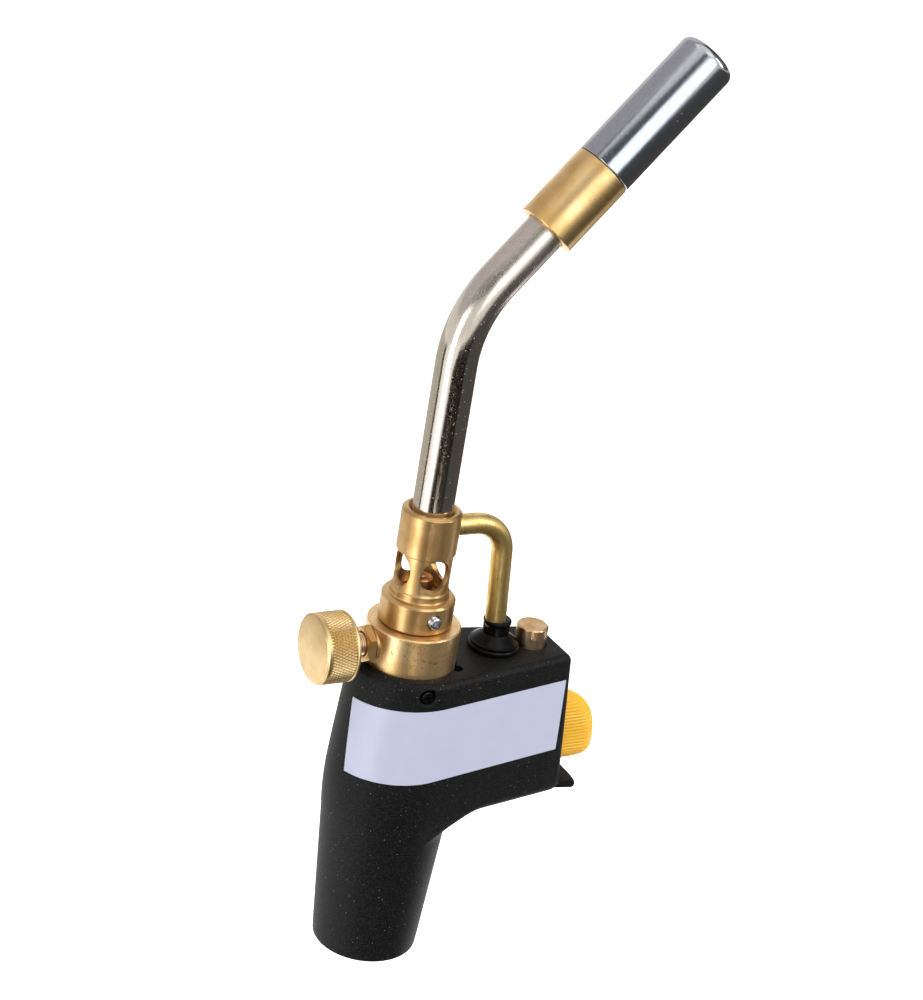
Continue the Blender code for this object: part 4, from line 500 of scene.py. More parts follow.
nylon = moulded_nylon()
valve_brass = turned_brass("turned_brass_valve", "#ECCB97", "#D8B27B", GAS_AXIS, 0.37, 0.6, 0.35, 0.6, 0.6)
connector_brass = turned_brass("turned_brass_connector", "#CEAB76", "#BA935E", GAS_AXIS, 0.36, 0.7, 0.0, 0.8, 0.15)
knob_brass = turned_brass("turned_brass_knob", "#DABF8F", "#CDB07C", KNOB_AXIS, 0.38, 0.25, 0.1, 0.4, 0.25,
                          KNOB_CORE)
# The nut's brass has its own yellow tone and is also made lighter: painted light for the nut, which sits in shade
# between knob and collar
gland_brass_painted_light = turned_brass("turned_brass_gland_painted_light", "#E8C890", "#D3AA70", KNOB_AXIS, 0.42, 0.3, 0.0, 0.3, 0.0)
# The stem's brass is paler than the rest: painted light on a stem that reflects dark surroundings
stem_brass_painted_light = turned_brass("turned_brass_stem_painted_light", "#F0DCC0", "#E0C3A0", KNOB_AXIS, 0.32, 0.5, 0.0, 0.3, 0.0)
# The jet's brass is darker and redder than the rest: painted shade for where it sits deep inside the connector
jet_brass_painted_shade = turned_brass("turned_brass_jet_painted_shade", "#CE9A68", "#AC7442", GAS_AXIS, 0.40, 0.3, 0.0, 0.3, 0.0)
sleeve_brass = turned_brass("turned_brass_sleeve", "#E0C08A", "#CFAA6E", TIP_AXIS, 0.35, 0.7, 0.1, 0.4, 0.15)
lock_brass = turned_brass("turned_brass_lock", "#E6CBA6", "#BC925E", LOCK_AXIS, 0.31, 0.6, 0.3, 0.5, 0.3)
conduit_brass = drawn_brass("drawn_brass_conduit", "#E8CC8A", "#C9A55A", 0.38)
# Bright nickel over steel: a warm grey mirror
tube_steel = drawn_steel("nickelled_steel_tube", "#D0C8BC", "#BEB4A6", 0.13, GAS_AXIS, 0.5, 0.5, 0.16)
# Stainless tube, polished lengthwise: a cooler and darker mirror
flame_steel = drawn_steel("polished_stainless_tube", "#AEB0B4", "#9C9EA2", 0.15, TIP_AXIS, 0.12, 0.12, 0.0)
# Zinc-plated machine screws
screw_steel = simple_finish("zinc_plated_steel", "#C9CACC", "#B4B5B8", 1.0, 0.22, 0.6, 0.01)
# The side screw's steel is painted dark: painted shade for the screw sitting deep in its recess
screw_steel_painted_shade = simple_finish("steel_painted_dark_shade", "#3A3A3C", "#2C2C2E", 1.0, 0.3, 0.5, 0.01)
# Spring wire: drawn carbon steel, oiled
wire_steel = simple_finish("drawn_spring_steel", "#A6A7AA", "#8C8D90", 1.0, 0.28, 0.5, 0.01)
# Nitrile rubber, moulded glossy: near black with a sharp soft-edged shine
rubber = simple_finish("moulded_nitrile_rubber", "#070707", "#0C0C0C", 0.0, 0.24, 1.5, 0.02,
                       Specular_IOR_Level=0.12)
# Acetal moulding for the trigger: warm amber with a waxy satin
acetal = simple_finish("moulded_amber_acetal", "#FFC730", "#FDBB24", 0.0, 0.42, 0.5, 0.012,
                       Subsurface_Weight=0.12, Subsurface_Scale=1.5 * MM)
# Vinyl film with a silk varnish: a cool pale grey-blue
vinyl = simple_finish("varnished_vinyl_film", "#C9CDE2", "#C2C6DC", 0.0, 0.36, 1.0, 0.004)
# Polyester body of the piezo igniter
igniter_plastic = simple_finish("moulded_grey_polyester", "#3A3B3F", "#46474B", 0.0, 0.5, 0.6, 0.02)
# Steatite insulator: off-white, faintly glazed
steatite = simple_finish("pressed_steatite", "#E6E2D6", "#D8D3C4", 0.0, 0.4, 0.5, 0.01)
# Silicone sleeve of the ignition lead
silicone = simple_finish("extruded_silicone", "#8E2A20", "#7A231B", 0.0, 0.5, 0.6, 0.01)
# Sintered bronze filter: coarse grains
sintered = simple_finish("sintered_bronze", "#B98F52", "#8C6A3A", 1.0, 0.6, 0.35, 0.10)


# ---- housing ----

def barrel_radius(z):
    return between(MOUTH_RADIUS, BARREL_TOP_RADIUS, z / UNDERSIDE)


def head_outline(z, inset=0.0, reach=None):
    """Plan of the head at a height, anticlockwise from the middle of its front."""
    share = (z - UNDERSIDE) / (HEAD_TOP - UNDERSIDE)
    held = min(max(share, 0), 1)
    radius = between(BARREL_TOP_RADIUS, HEAD_TOP_RADIUS, held) - inset
    radius += HEAD_BELLY * held ** 0.5 * (1 - held) ** 1.5
    shift = REAR_SHIFT * max(share - REAR_SHIFT_START, 0) / (1 - REAR_SHIFT_START)
    front = (between(BOTTOM_REACH, TOP_REACH, share) if reach is None else reach) - inset
    corner = max(CORNER_RADIUS - inset, CORNER_RADIUS / 15)
    normal = QUARTER - SIDE_TAPER
    corner_x = front - corner
    side = radius + shift * math.cos(normal)
    corner_y = (side - corner - corner_x * math.cos(normal)) / math.sin(normal)
    half = [(front, 0), (front, corner_y / 2)] + rounded(corner_x, corner_y, corner, 0, normal, CORNER_STEPS)
    first = math.atan2(half[-1][1], half[-1][0])
    last = math.atan2(radius * math.sin(normal), shift + radius * math.cos(normal))
    for step in range(1, SIDE_STEPS + 1):
        angle = between(first, last, step / SIDE_STEPS)
        length = side / math.cos(angle - normal)
        half.append((length * math.cos(angle), length * math.sin(angle)))
    half += rounded(shift, 0, radius, normal, math.pi, HALF_REAR_STEPS)[1:-1]
    return half + [(shift - radius, 0)] + [(x, -y) for x, y in reversed(half[1:])]


def under_rise(wall_radius, steps):
    """Radius and height along one meridian, up the hollow fillet from the barrel to the head's wall."""
    start = UNDERSIDE - FILLET_RADIUS
    overhang = wall_radius - barrel_radius(UNDERSIDE)
    edge = min(UNDER_EDGE, max(overhang, 0) / 2)
    run = max(overhang - edge, 0)
    sweep = math.acos(1 - min(run, FILLET_RADIUS) / FILLET_RADIUS)
    path = [(barrel_radius(start - FILLET_RUN_IN), start - FILLET_RUN_IN)]
    for step in range(41):
        turn = sweep * step / 40
        z = start + FILLET_RADIUS * math.sin(turn)
        path.append((barrel_radius(z) + FILLET_RADIUS * (1 - math.cos(turn)), z))
    if run > FILLET_RADIUS:
        path.append((wall_radius - edge, UNDERSIDE))
    lengths = [math.dist(a, b) for a, b in zip(path, path[1:])]
    points = []
    for step in range(steps + 1):
        left = sum(lengths) * step / steps
        index = 0
        while index < len(lengths) - 1 and left > lengths[index]:
            left -= lengths[index]
            index += 1
        share = min(left / lengths[index], 1) if lengths[index] else 0
        points.append(tuple(between(a, b, share) for a, b in zip(path[index], path[index + 1])))
    return points, path[-1][1], edge


def quarter_turn(steps, first=1):
    """Sine and versed sine at even steps through a quarter turn."""
    return [(sine, 1 - cosine) for cosine, sine in rounded(0, 0, 1, 0, QUARTER, steps)[first:]]


def housing_outside():
    meridians = []
    run_in = UNDERSIDE - FILLET_RADIUS - FILLET_RUN_IN
    for index, (x, y) in enumerate(head_outline(UNDERSIDE)):
        way = Vector((x, y, 0)).normalized()
        line = [way * (barrel_radius(0) - BARREL_EDGE * (1 - out)) + UP * BARREL_EDGE * rise
                for out, rise in quarter_turn(6, 0)]
        for step in range(1, 8):
            z = between(BARREL_EDGE, run_in, step / 8)
            line.append(way * barrel_radius(z) + UP * z)
        wall_radius = math.hypot(x, y)
        hollow, crease, round_in = under_rise(wall_radius, 22)
        line += [way * radius + UP * z for radius, z in hollow]
        for out, rise in quarter_turn(6):
            z = crease + UNDER_EDGE * rise
            place = Vector((*head_outline(max(z, UNDERSIDE))[index], 0))
            if z < UNDERSIDE:
                place = way * (barrel_radius(z) + wall_radius - barrel_radius(UNDERSIDE))
            line.append(place - way * round_in * (1 - out) + UP * z)
        low, high = line[-1].z, HEAD_TOP - TOP_EDGE
        for step in range(1, 15):
            z = between(low, high, step / 14)
            line.append(Vector((*head_outline(z)[index], z)))
        for out, rise in quarter_turn(8):
            z = high + TOP_EDGE * out
            line.append(Vector((*head_outline(z, TOP_EDGE * rise)[index], z)))
        meridians.append(line)
    return skin([[line[row] for line in meridians] for row in range(len(meridians[0]))])


def guard_lip():
    """Flat lip under the trigger, with a round nose and a slightly bowed front."""
    root = BOTTOM_REACH - CORNER_RADIUS
    nose = LIP_THICKNESS / 2
    middle = UNDERSIDE - LIP_DROP + nose
    half = head_outline(UNDERSIDE)[2 + CORNER_STEPS // 2][1] - GAP
    rows = []
    for station in range(33):
        side = math.cos(math.pi * station / 32)
        tip = BOTTOM_REACH + LIP_REACH + LIP_BOW * (1 - side ** 2) - nose / 2 * side ** 8
        thin = nose * (1 - 0.1 * side ** 16)
        row = [(root, UNDERSIDE + GAP), (BOTTOM_REACH - nose, UNDERSIDE + GAP)]
        row += rounded(tip - thin, middle, thin, -QUARTER, QUARTER, 12)
        row += [(BOTTOM_REACH - nose, middle + nose), (root, middle + nose)]
        rows.append([(x, half * side, z) for x, z in row])
    return skin(rows)


def head_hollow():
    """Inside of the head, less the neck, the guide ribs, the igniter's cradle and the lock's ledge."""
    low, high = UNDERSIDE + FLOOR_WALL, HEAD_TOP - TOP_WALL
    hollow = skin([[(x, y, z) for x, y in head_outline(z, WALL, INNER_REACH)] for z in (low, high)])
    past = 3.0
    return carve(hollow, bar_z(21.0, 0, NECK_LOW, NECK_HIGH, 96),
                 block((15.5, 10, low - past), (BOTTOM_REACH, 12, high + past)),
                 block((15.5, -12, low - past), (BOTTOM_REACH, -10, high + past)),
                 block((20.6, -11, 84.1), (39.4, 11, 94.0)),
                 block((44.0, -11, 110.5), (BOTTOM_REACH, 11, 112.5)))


def trigger_window():
    """Opening that the trigger slides through, with its corners as round as the trigger's."""
    corner = TRIGGER_EDGE + RUNNING_GAP
    half = TRIGGER_HALF + RUNNING_GAP - corner
    low, high = TRIGGER_LOW - RUNNING_GAP + corner, TRIGGER_HIGH + RUNNING_GAP - corner
    outline = []
    for quarter, (y, z) in enumerate(((half, high), (-half, high), (-half, low), (half, low))):
        outline += rounded(y, z, corner, QUARTER * quarter, QUARTER * (quarter + 1), 16)
    return skin([[(x, y, z) for y, z in outline] for x in (TRIGGER_REAR, 81)])


def screw_recess():
    """Recess of the side screw, a little above and behind it, with a broken edge."""
    return lathe([(0, 19.4), (3.25, 19.4), (3.25, 22.8), (4.6, 24.15), (4.6, 27), (0, 27)],
                 facing((-0.4, 0, SCREW_Z + 0.8), level_way(SCREW_ANGLE)), 64, ease=0)


def screw_hole(start, sides=64):
    """Hole for the side screw's shank, from a distance off the gas axis outwards."""
    out, level = level_way(SCREW_ANGLE), UP * SCREW_Z
    return bar(SCREW_SHANK, level + out * start, level + out * 22, sides)


def housing():
    body = carve(housing_outside(), guard_lip(), operation="UNION")
    bore = lathe([(0, BARREL_BORE_TOP), (barrel_radius(BARREL_BORE_TOP) - WALL, BARREL_BORE_TOP),
                  (barrel_radius(0) - WALL, 0), (barrel_radius(0) - WALL, -3), (0, -3)], ease=0)
    notch = level_way(NOTCH_ANGLE) * NOTCH_OFFSET
    return carve(body, head_hollow(), bore,
                 bar_z(COLLAR_RADIUS + 0.5, 0, NECK_LOW, NECK_HIGH, 128),
                 bar(NOTCH_RADIUS, notch + UP * (HEAD_TOP - 4), notch + UP * (HEAD_TOP + 4)),
                 bar_z(5.5, GROMMET_X, HEAD_TOP - 8, HEAD_TOP + 8),
                 bar_z(6.5, LOCK_X, HEAD_TOP - 8, HEAD_TOP + 8, 96),
                 bar_z(2.5, LOCK_X, 108, 115),
                 bar_x(5.1, 13, 61, IGNITER_Z),
                 screw_recess(), screw_hole(16), trigger_window())


def label_plate():
    """Bare plate where a printed film lies on the side of the head, bent round its rear."""
    columns, rows = 72, 12
    width = columns + 1
    points = []
    for row in range(rows + 1):
        share = row / rows
        # Places along the head's outline, counted in its own steps from the front corner to the rear
        first, last = between(113.74, 113.96, share), between(66.5, 63.6, share)
        for column in range(width):
            along = column / columns
            sink = max(along - 0.45, 0) / 0.55
            z = between(LABEL_LOW - 1.6 * sink ** 1.3, LABEL_HIGH - 3.0 * sink ** 1.5, share)
            outline = head_outline(z, -0.02)
            at = between(first, last, along)
            low = int(math.floor(at))
            following = (low + 1) % len(outline)
            points.append((*[between(a, b, at - low) for a, b in zip(outline[low], outline[following])], z))
    faces = [(r * width + c, r * width + c + 1, (r + 1) * width + c + 1, (r + 1) * width + c)
             for r in range(rows) for c in range(columns)]
    flat = bpy.data.meshes.new("label")
    flat.from_pydata(points, [], faces)
    if flat.polygons[0].normal.y > 0:
        flat.flip_normals()
    return tidy(worked(flat, ("SOLIDIFY", {"thickness": 0.12, "offset": 1.0})))


# ---- valve ----

def valve_body():
    collar = lathe([
        (0, SPIGOT_TOP), (8.1, SPIGOT_TOP), (9.0, SPIGOT_TOP - 0.9), (9.0, COLLAR_TOP),
        (COLLAR_RADIUS - 0.5, COLLAR_TOP), (COLLAR_RADIUS, COLLAR_TOP - 0.5),
        (COLLAR_RADIUS, COLLAR_BOTTOM + 0.9), (COLLAR_RADIUS - 0.9, COLLAR_BOTTOM),
        (13, COLLAR_BOTTOM), (13, 58.9), (12.1, 58), (8, 58), (8, 31.2), (7.1, 30.3), (0, 30.3)], sides=128)
    knob_pad, plunger_boss = bar_x(6.7, -17.6, -9, KNOB_Z, 96), bar_x(6.8, 16, 7, PLUNGER_Z)
    body = carve(collar, knob_pad, plunger_boss, operation="UNION")
    # One small round dent in the collar
    dent, level = level_way(DENT_ANGLE), UP * DENT_Z
    return carve(body, bar(0.75, dent * 17.1 + level, dent * 18.5 + level, 24),
                 bar_z(1.6, 0, 25, 155, 32), bar_z(4.3, 0, 25, 37.2, 48), bar_z(2.8, 0, 142.7, 155, 32),
                 bar_x(5.8, -21, -8.6, KNOB_Z), bar_x(2.7, -9, 1.6, KNOB_Z, 32),
                 bar_x(3.3, -10.5, 19, PLUNGER_Z, 48), screw_hole(12.1, 32))


def cylinder_socket():
    """Socket for the cylinder's neck, with twenty turns to the inch cut down its bore."""
    mouth, roof, sides, steps = 14, 30, 96, 116
    outside = [(8.3, 46), (10.2, 46), (11.2, 45), (11.2, 33), (14.9, 33), (15.9, 32), (15.9, 15), (14.9, 14),
               (13.1, 14)]
    rows = [[(radius, height)] * sides for radius, height in soften(outside, EDGE, False)]
    for step in range(steps + 1):
        z = between(mouth + 0.4, roof - 0.4, step / steps)
        ends = max(min((z - mouth) / 2, (roof - z) / 1.2, 1), 0)
        row = []
        for side in range(sides):
            phase = (z / THREAD_PITCH - side / sides) % 1
            ridge = 1 - abs(phase * 2 - 1)
            row.append((THREAD_CORE + THREAD_DEPTH * (1 - ridge * ends), z))
        rows.append(row)
    rows += [[(THREAD_CORE, roof)] * sides, [(8.3, roof)] * sides]
    return skin([[polar(radius, z, side / sides) for side, (radius, z) in enumerate(row)] for row in rows],
                closed=True)


def gland_nut():
    """Gland nut: chamfered hexagon with a raised ring on its face."""
    height, chamfer = 3.0, 0.8
    corner = 6.5 / math.cos(math.pi / 6)
    blank = lathe([(4.6, height - 0.5), (5.0, height), (6.3, height), (corner + 0.2, height - chamfer),
                   (corner + 0.2, 0.25), (corner - 0.1, 0), (5.5, 0), (5.5, -7.2), (4.6, -7.2)],
                  along_x(-17.9, KNOB_Z), 96, True)
    turn = QUARTER + math.radians(-3.4)
    hexagon = rounded(0, KNOB_Z, corner, turn, turn + math.tau, 6)[:-1]
    prism = skin([[(x, y, z) for y, z in hexagon] for x in (10, -22)])
    return carve(blank, prism, operation="INTERSECT")


def control_stem():
    end = KNOB_LENGTH - KNOB_BACK - KNOB_FACE - GAP
    return lathe([
        (0, end), (3.9, end), (4.2, end - 0.35), (4.2, 22.6), (3.7, 22.2), (3.7, 21.6), (4.2, 21.2), (4.2, 11.0),
        (2.4, 11.0), (2.4, 5.6), (0.8, 3.4), (0, 3.4)], KNOB_AXIS, 64)


def geometry_tree(name, **inputs):
    """Geometry Nodes tree with these inputs, what adds its nodes, and what it is given."""
    tree = bpy.data.node_groups.new(name, "GeometryNodeTree")
    tree.interface.new_socket("Geometry", in_out="OUTPUT", socket_type="NodeSocketGeometry")
    for label, kind in inputs.items():
        tree.interface.new_socket(label, in_out="INPUT", socket_type="NodeSocket" + kind)
    add = partial(node, tree)
    return tree, add, add("NodeGroupInput").node.outputs


def knurl_tree():
    """Geometry Nodes: rows of small pyramids in a staggered lattice round an axis, as a diamond knurl."""
    tree, add, given = geometry_tree("diamond_knurl", Around="Int", Rows="Int", Row_Pitch="Float",
                                     Radius="Float", Height="Float", Middle="Float", Finish="Material")
    around, pitch, radius = given["Around"], given["Row_Pitch"], given["Radius"]
    index = add("GeometryNodeInputIndex")
    row = add("FLOOR", add("DIVIDE", (index, around)))
    stagger = add("MULTIPLY", (add("MODULO", (row, 2.0)), 0.5))
    turn = add("MULTIPLY", (add("DIVIDE", (add("ADD", (index, stagger)), around)), math.tau))
    half_rows = add("DIVIDE", (add("SUBTRACT", (given["Rows"], 1.0)), 2.0))
    along = add("MULTIPLY_ADD", (add("SUBTRACT", (row, half_rows)), pitch, given["Middle"]))
    place = add("CombineXYZ", (along, add("MULTIPLY", (radius, add("COSINE", turn))),
                               add("MULTIPLY", (radius, add("SINE", turn)))))
    points = add("GeometryNodePoints", (add("MULTIPLY", (around, given["Rows"])), place))
    arc = add("DIVIDE", (add("MULTIPLY", (radius, math.tau)), around))
    pyramid = add("GeometryNodeMeshCone", {"Vertices": 4, "Radius Top": 0.12, "Radius Bottom": 1.0, "Depth": 1.0})
    size = add("CombineXYZ", (pitch, add("DIVIDE", (arc, 2.0)), given["Height"]))
    lean = add("CombineXYZ", add("SUBTRACT", (turn, QUARTER)))
    placed = add("GeometryNodeInstanceOnPoints", {"Points": points, "Instance": pyramid, "Rotation": lean,
                                                  "Scale": size})
    real = add("GeometryNodeRealizeInstances", placed)
    painted = add("GeometryNodeSetMaterial", {"Geometry": real, "Material": given["Finish"]})
    add("NodeGroupOutput", painted)
    return tree


def grown(tree, blank=None, **values):
    """Mesh that a Geometry Nodes tree makes from these inputs, or of a blank that it works on."""
    given = {socket.identifier: values[socket.name] for socket in tree.interface.items_tree
             if socket.in_out == "INPUT" and socket.name in values}
    return worked(blank or bpy.data.meshes.new("grown"), ("NODES", {"node_group": tree, **given}))


def control_knob():
    """Knob: chamfered rims, a diamond knurl between them and a plain faced front."""
    length, radius, core = KNOB_LENGTH, 13.15, KNOB_CORE
    front_rim, rear_rim, floor = 1.9, 1.1, KNOB_LENGTH - KNOB_FACE
    turned = lathe([
        (0, length), (11.9, length), (12.35, length - 0.12), (radius, length - 0.8), (radius, length - front_rim),
        (core, length - front_rim - 0.25), (core, rear_rim + 0.25), (radius, rear_rim), (radius, 0.6), (12.5, 0),
        (4.5, 0), (4.5, floor), (0, floor)], along_x(KNOB_BACK, KNOB_Z), 160, ease=0.1)
    rows, band = 8, length - front_rim - rear_rim
    pyramids = grown(knurl_tree(), Around=72, Rows=rows, Row_Pitch=band / (rows + 1), Radius=core - 0.02,
                     Height=0.46, Middle=KNOB_BACK - rear_rim - band / 2, Finish=knob_brass)
    pyramids.transform(Matrix.Translation((0, 0, KNOB_Z)))
    return merged(turned, pyramids)


def side_screw():
    out = level_way(SCREW_ANGLE)
    place = facing(UP * SCREW_Z + out * 19.7, out)
    blank = lathe([(0, 2.4), (2.1, 2.4), (2.4, 2.1), (2.4, 0), (1.5, 0), (1.5, -7.3), (0, -7.3)], place, 48)
    return carve(blank, *[block((-x, -y, 1.1), (x, y, 4), place) for x, y in ((1.7, 0.3), (0.3, 1.7))])


# ---- burner ----

def burner_connector():
    low, top = CONNECTOR_BOTTOM, CONNECTOR_TOP
    blank = lathe([
        (7.75, top - 1.3), (8.9, top), (9.9, top), (11.07, top - 0.9), (11.07, 167.1), (10.3, 166.7),
        (10.3, 153.2), (10.5, 152.5), (10.9, 152.1), (10.9, 150.1), (11.2, 149.4), (12.4, 149.4), (13.3, 149.0),
        (13.77, 148.3), (13.77, 138.8), (13.2, low), (9.3, low), (9.3, 149.8), (8.3, 149.8), (8.3, 167.1),
        (6.7, 167.1), (6.7, 169.5), (7.75, 169.5)], sides=128, bored=True)
    # Each air hole is a drill with a countersink that breaks its outer edge
    holes = []
    for turn in range(4):
        place = (Matrix.Translation((0, 0, AIR_HOLE_Z)) @ Matrix.Rotation(QUARTER * turn, 4, "Z")
                 @ Matrix.Rotation(QUARTER, 4, "Y"))
        holes.append(lathe([(0, 4), (5.8, 4), (5.8, 8.4), (6.9, 10.5), (6.9, 14), (0, 14)], place, 96, ease=0))
    return carve(blank, *holes, bar_x(4.3, 7, 14, CONDUIT_Z),
                 bar(2.75, (0, -15.5, GRUB_Z), (0, -8.9, GRUB_Z), 48))


def grub_screw():
    place = Matrix.Translation((0, -9.3, GRUB_Z)) @ Matrix.Rotation(QUARTER, 4, "X")
    length = 6.47
    profile = [(0, length), (1.75, length), (2.35, length - 0.5)]
    for step in range(1, 9):
        z = length - 0.5 - step * 0.7
        profile += [(2.35, z + 0.2), (2.0, z - 0.15)]
    blank = lathe(profile + [(1.5, 0), (0, 0)], place, 48, ease=0.05)
    return carve(blank, bar(1.35, (0, -18, GRUB_Z), (0, -13.8, GRUB_Z), 6))


def gas_jet():
    return lathe([(0.6, 157.2), (1.6, 157.2), (2.2, 156.4), (3.6, 156.4), (4.3, 155.7), (4.3, 149.8),
                  (2.5, 149.8), (2.5, 143.3), (0.6, 143.3)], sides=64, bored=True)


def swept(path, outer, inner, sides=80):
    """Hollow tube along points in the XZ plane, its ends squared and eased."""
    path = [Vector((x, 0, z)) for x, z in path]
    last, ease, sideways = len(path) - 1, EDGE, Vector((0, 1, 0))

    def ring(at, radius, shift=0.0):
        way = (path[min(at + 1, last)] - path[max(at - 1, 0)]).normalized()
        across = sideways.cross(way)
        return [path[at] + way * shift + (across * x + sideways * y) * radius
                for x, y in rounded(0, 0, 1, 0, math.tau, sides)[:-1]]

    rows = [ring(0, outer - ease), ring(0, outer, ease), ring(0, outer, ease * 2)]
    rows += [ring(at, outer) for at in range(1, last)]
    rows += [ring(last, outer, -ease * 2), ring(last, outer, -ease), ring(last, outer - ease),
             ring(last, inner + ease), ring(last, inner, -ease)]
    rows += [ring(at, inner) for at in range(last - 1, 0, -1)]
    rows += [ring(0, inner, ease), ring(0, inner + ease)]
    return skin(rows, closed=True)


def burn_tube():
    path = [(0, TUBE_FOOT), (0, between(TUBE_FOOT, BEND_START, 0.5))]
    path += rounded(BEND_RADIUS, BEND_START, BEND_RADIUS, math.pi, math.pi - BEND, 40)
    path += [on_tip(distance).translation.xz for distance in (10, SLEEVE_START + 12.7)]
    return carve(swept(path, TUBE_RADIUS, TUBE_RADIUS - TUBE_WALL), bar_x(2.6, 0, 11, CONDUIT_Z, 32))


def tip_sleeve():
    length, radius = SLEEVE_LENGTH, FLAME_RADIUS
    return lathe([
        (10.1, length), (radius - 0.2, length), (radius, length - 0.3), (radius, 0.3), (radius - 0.3, 0), (7.9, 0),
        (7.9, 13), (6.7, 13), (6.7, 15.2), (10.1, 15.2)], on_tip(SLEEVE_START), 128, True)


def flame_tube():
    length, radius, rounding, wall = FLAME_LENGTH, FLAME_RADIUS, FLAME_ROUNDING, FLAME_WALL
    centre = radius - rounding, length - rounding
    profile = rounded(*centre, rounding, QUARTER, 0, 12)
    profile += [(radius, length - rounding - 0.8), (radius, 1.0), (radius, 0.3), (radius - 0.3, 0), (9.8, 0),
                (9.8, -12), (9.0, -12), (9.0, 1.6), (radius - wall, 2.4), (radius - wall, length - rounding)]
    profile += rounded(*centre, rounding - wall, 0, QUARTER, 8)[1:]
    return lathe(profile, on_tip(FLAME_START), 128, True, 0.1)


def flame_holder():
    blank = lathe([(2.3, 6.2), (3.0, 6.2), (3.4, 5.8), (3.4, 4), (9.5, 4), (9.9, 3.6), (9.9, 0), (2.3, 0)],
                  on_tip(HOLDER_START), 96, True)
    place, ports = on_tip(HOLDER_START), []
    for ring_radius, count, size, offset in ((6.8, 6, 1.7, 0), (8.9, 12, 0.5, 0.5), (4.6, 6, 0.5, 0.5)):
        for number in range(count):
            ends = [place @ polar(ring_radius, height, (number + offset) / count) for height in (-1, 5)]
            ports.append(bar(size, *ends, 24))
    return carve(blank, *ports)


def conduit():
    lean, radius = CONDUIT_LEAN, CONDUIT_BEND_RADIUS
    centre_z = CONDUIT_Z - radius
    end_z = centre_z + radius * math.sin(lean)
    end_x = GROMMET_X - (end_z - HEAD_TOP) * math.tan(lean)
    centre_x = end_x - radius * math.cos(lean)
    path = [(CONDUIT_START, CONDUIT_Z), (between(CONDUIT_START, centre_x, 0.5), CONDUIT_Z)]
    path += rounded(centre_x, centre_z, radius, QUARTER, lean, 30)
    foot = GROMMET_X + CONDUIT_FOOT * math.tan(lean), HEAD_TOP - CONDUIT_FOOT
    path += [(between(path[-1][0], foot[0], 0.5), between(path[-1][1], foot[1], 0.5)), foot]
    return swept(path, CONDUIT_RADIUS, CONDUIT_RADIUS - CONDUIT_WALL, 64)


def grommet():
    profile = [(0, 12), (4.8, 12), (5.4, 11.5), (5.4, 10.6), (5.1, 10.0), (5.15, 6.2), (5.9, 5.6), (8.4, 3.5),
               (8.8, 3.2), (9.4, 3.0), (9.4, 2.5), (8.9, 2.15), (9.5, 1.9), (9.9, 1.4), (9.9, 0.2), (9.6, 0),
               (5.2, 0), (5.2, -4.2), (7.0, -4.2), (5.2, -6.9), (0, -6.9)]
    blank = lathe(profile, Matrix.Translation((GROMMET_X, 0, HEAD_TOP + GAP)), 96, ease=0.3)
    axis = Vector((-math.sin(CONDUIT_LEAN), 0, math.cos(CONDUIT_LEAN))) * 30
    centre = Vector((GROMMET_X, 0, HEAD_TOP))
    return carve(blank, bar(4.3, centre - axis, centre + axis))


# ---- trigger, lock and springs ----

def trigger_plan(z, steps=32):
    """Plan section of the trigger at a height: straight flanks and a round nose."""
    end = TRIGGER_HIGH if z >= TRIGGER_MID else TRIGGER_LOW
    share = min((z - TRIGGER_MID) / (end - TRIGGER_MID), 1)
    bulge = (1 - share ** TRIGGER_FULLNESS) ** (1 / TRIGGER_FULLNESS)
    nose = between(TRIGGER_ROOT, TRIGGER_CROWN, bulge)
    above = max(z - (TRIGGER_HIGH - TRIGGER_EDGE), TRIGGER_LOW + TRIGGER_EDGE - z, 0)
    half = TRIGGER_HALF - TRIGGER_EDGE + math.sqrt(max(TRIGGER_EDGE ** 2 - above ** 2, 0))
    depth = min(half, nose - TRIGGER_ROOT + TRIGGER_HALF)
    flank, start, rear = 12, nose - depth, TRIGGER_REAR
    points = [(between(rear, start, step / flank), -half) for step in range(flank)]
    points += rounded(start, 0, depth, -QUARTER, QUARTER, steps, half)
    points += [(between(start, rear, step / flank), half) for step in range(1, flank + 1)]
    return [(x, y, z) for x, y in points]


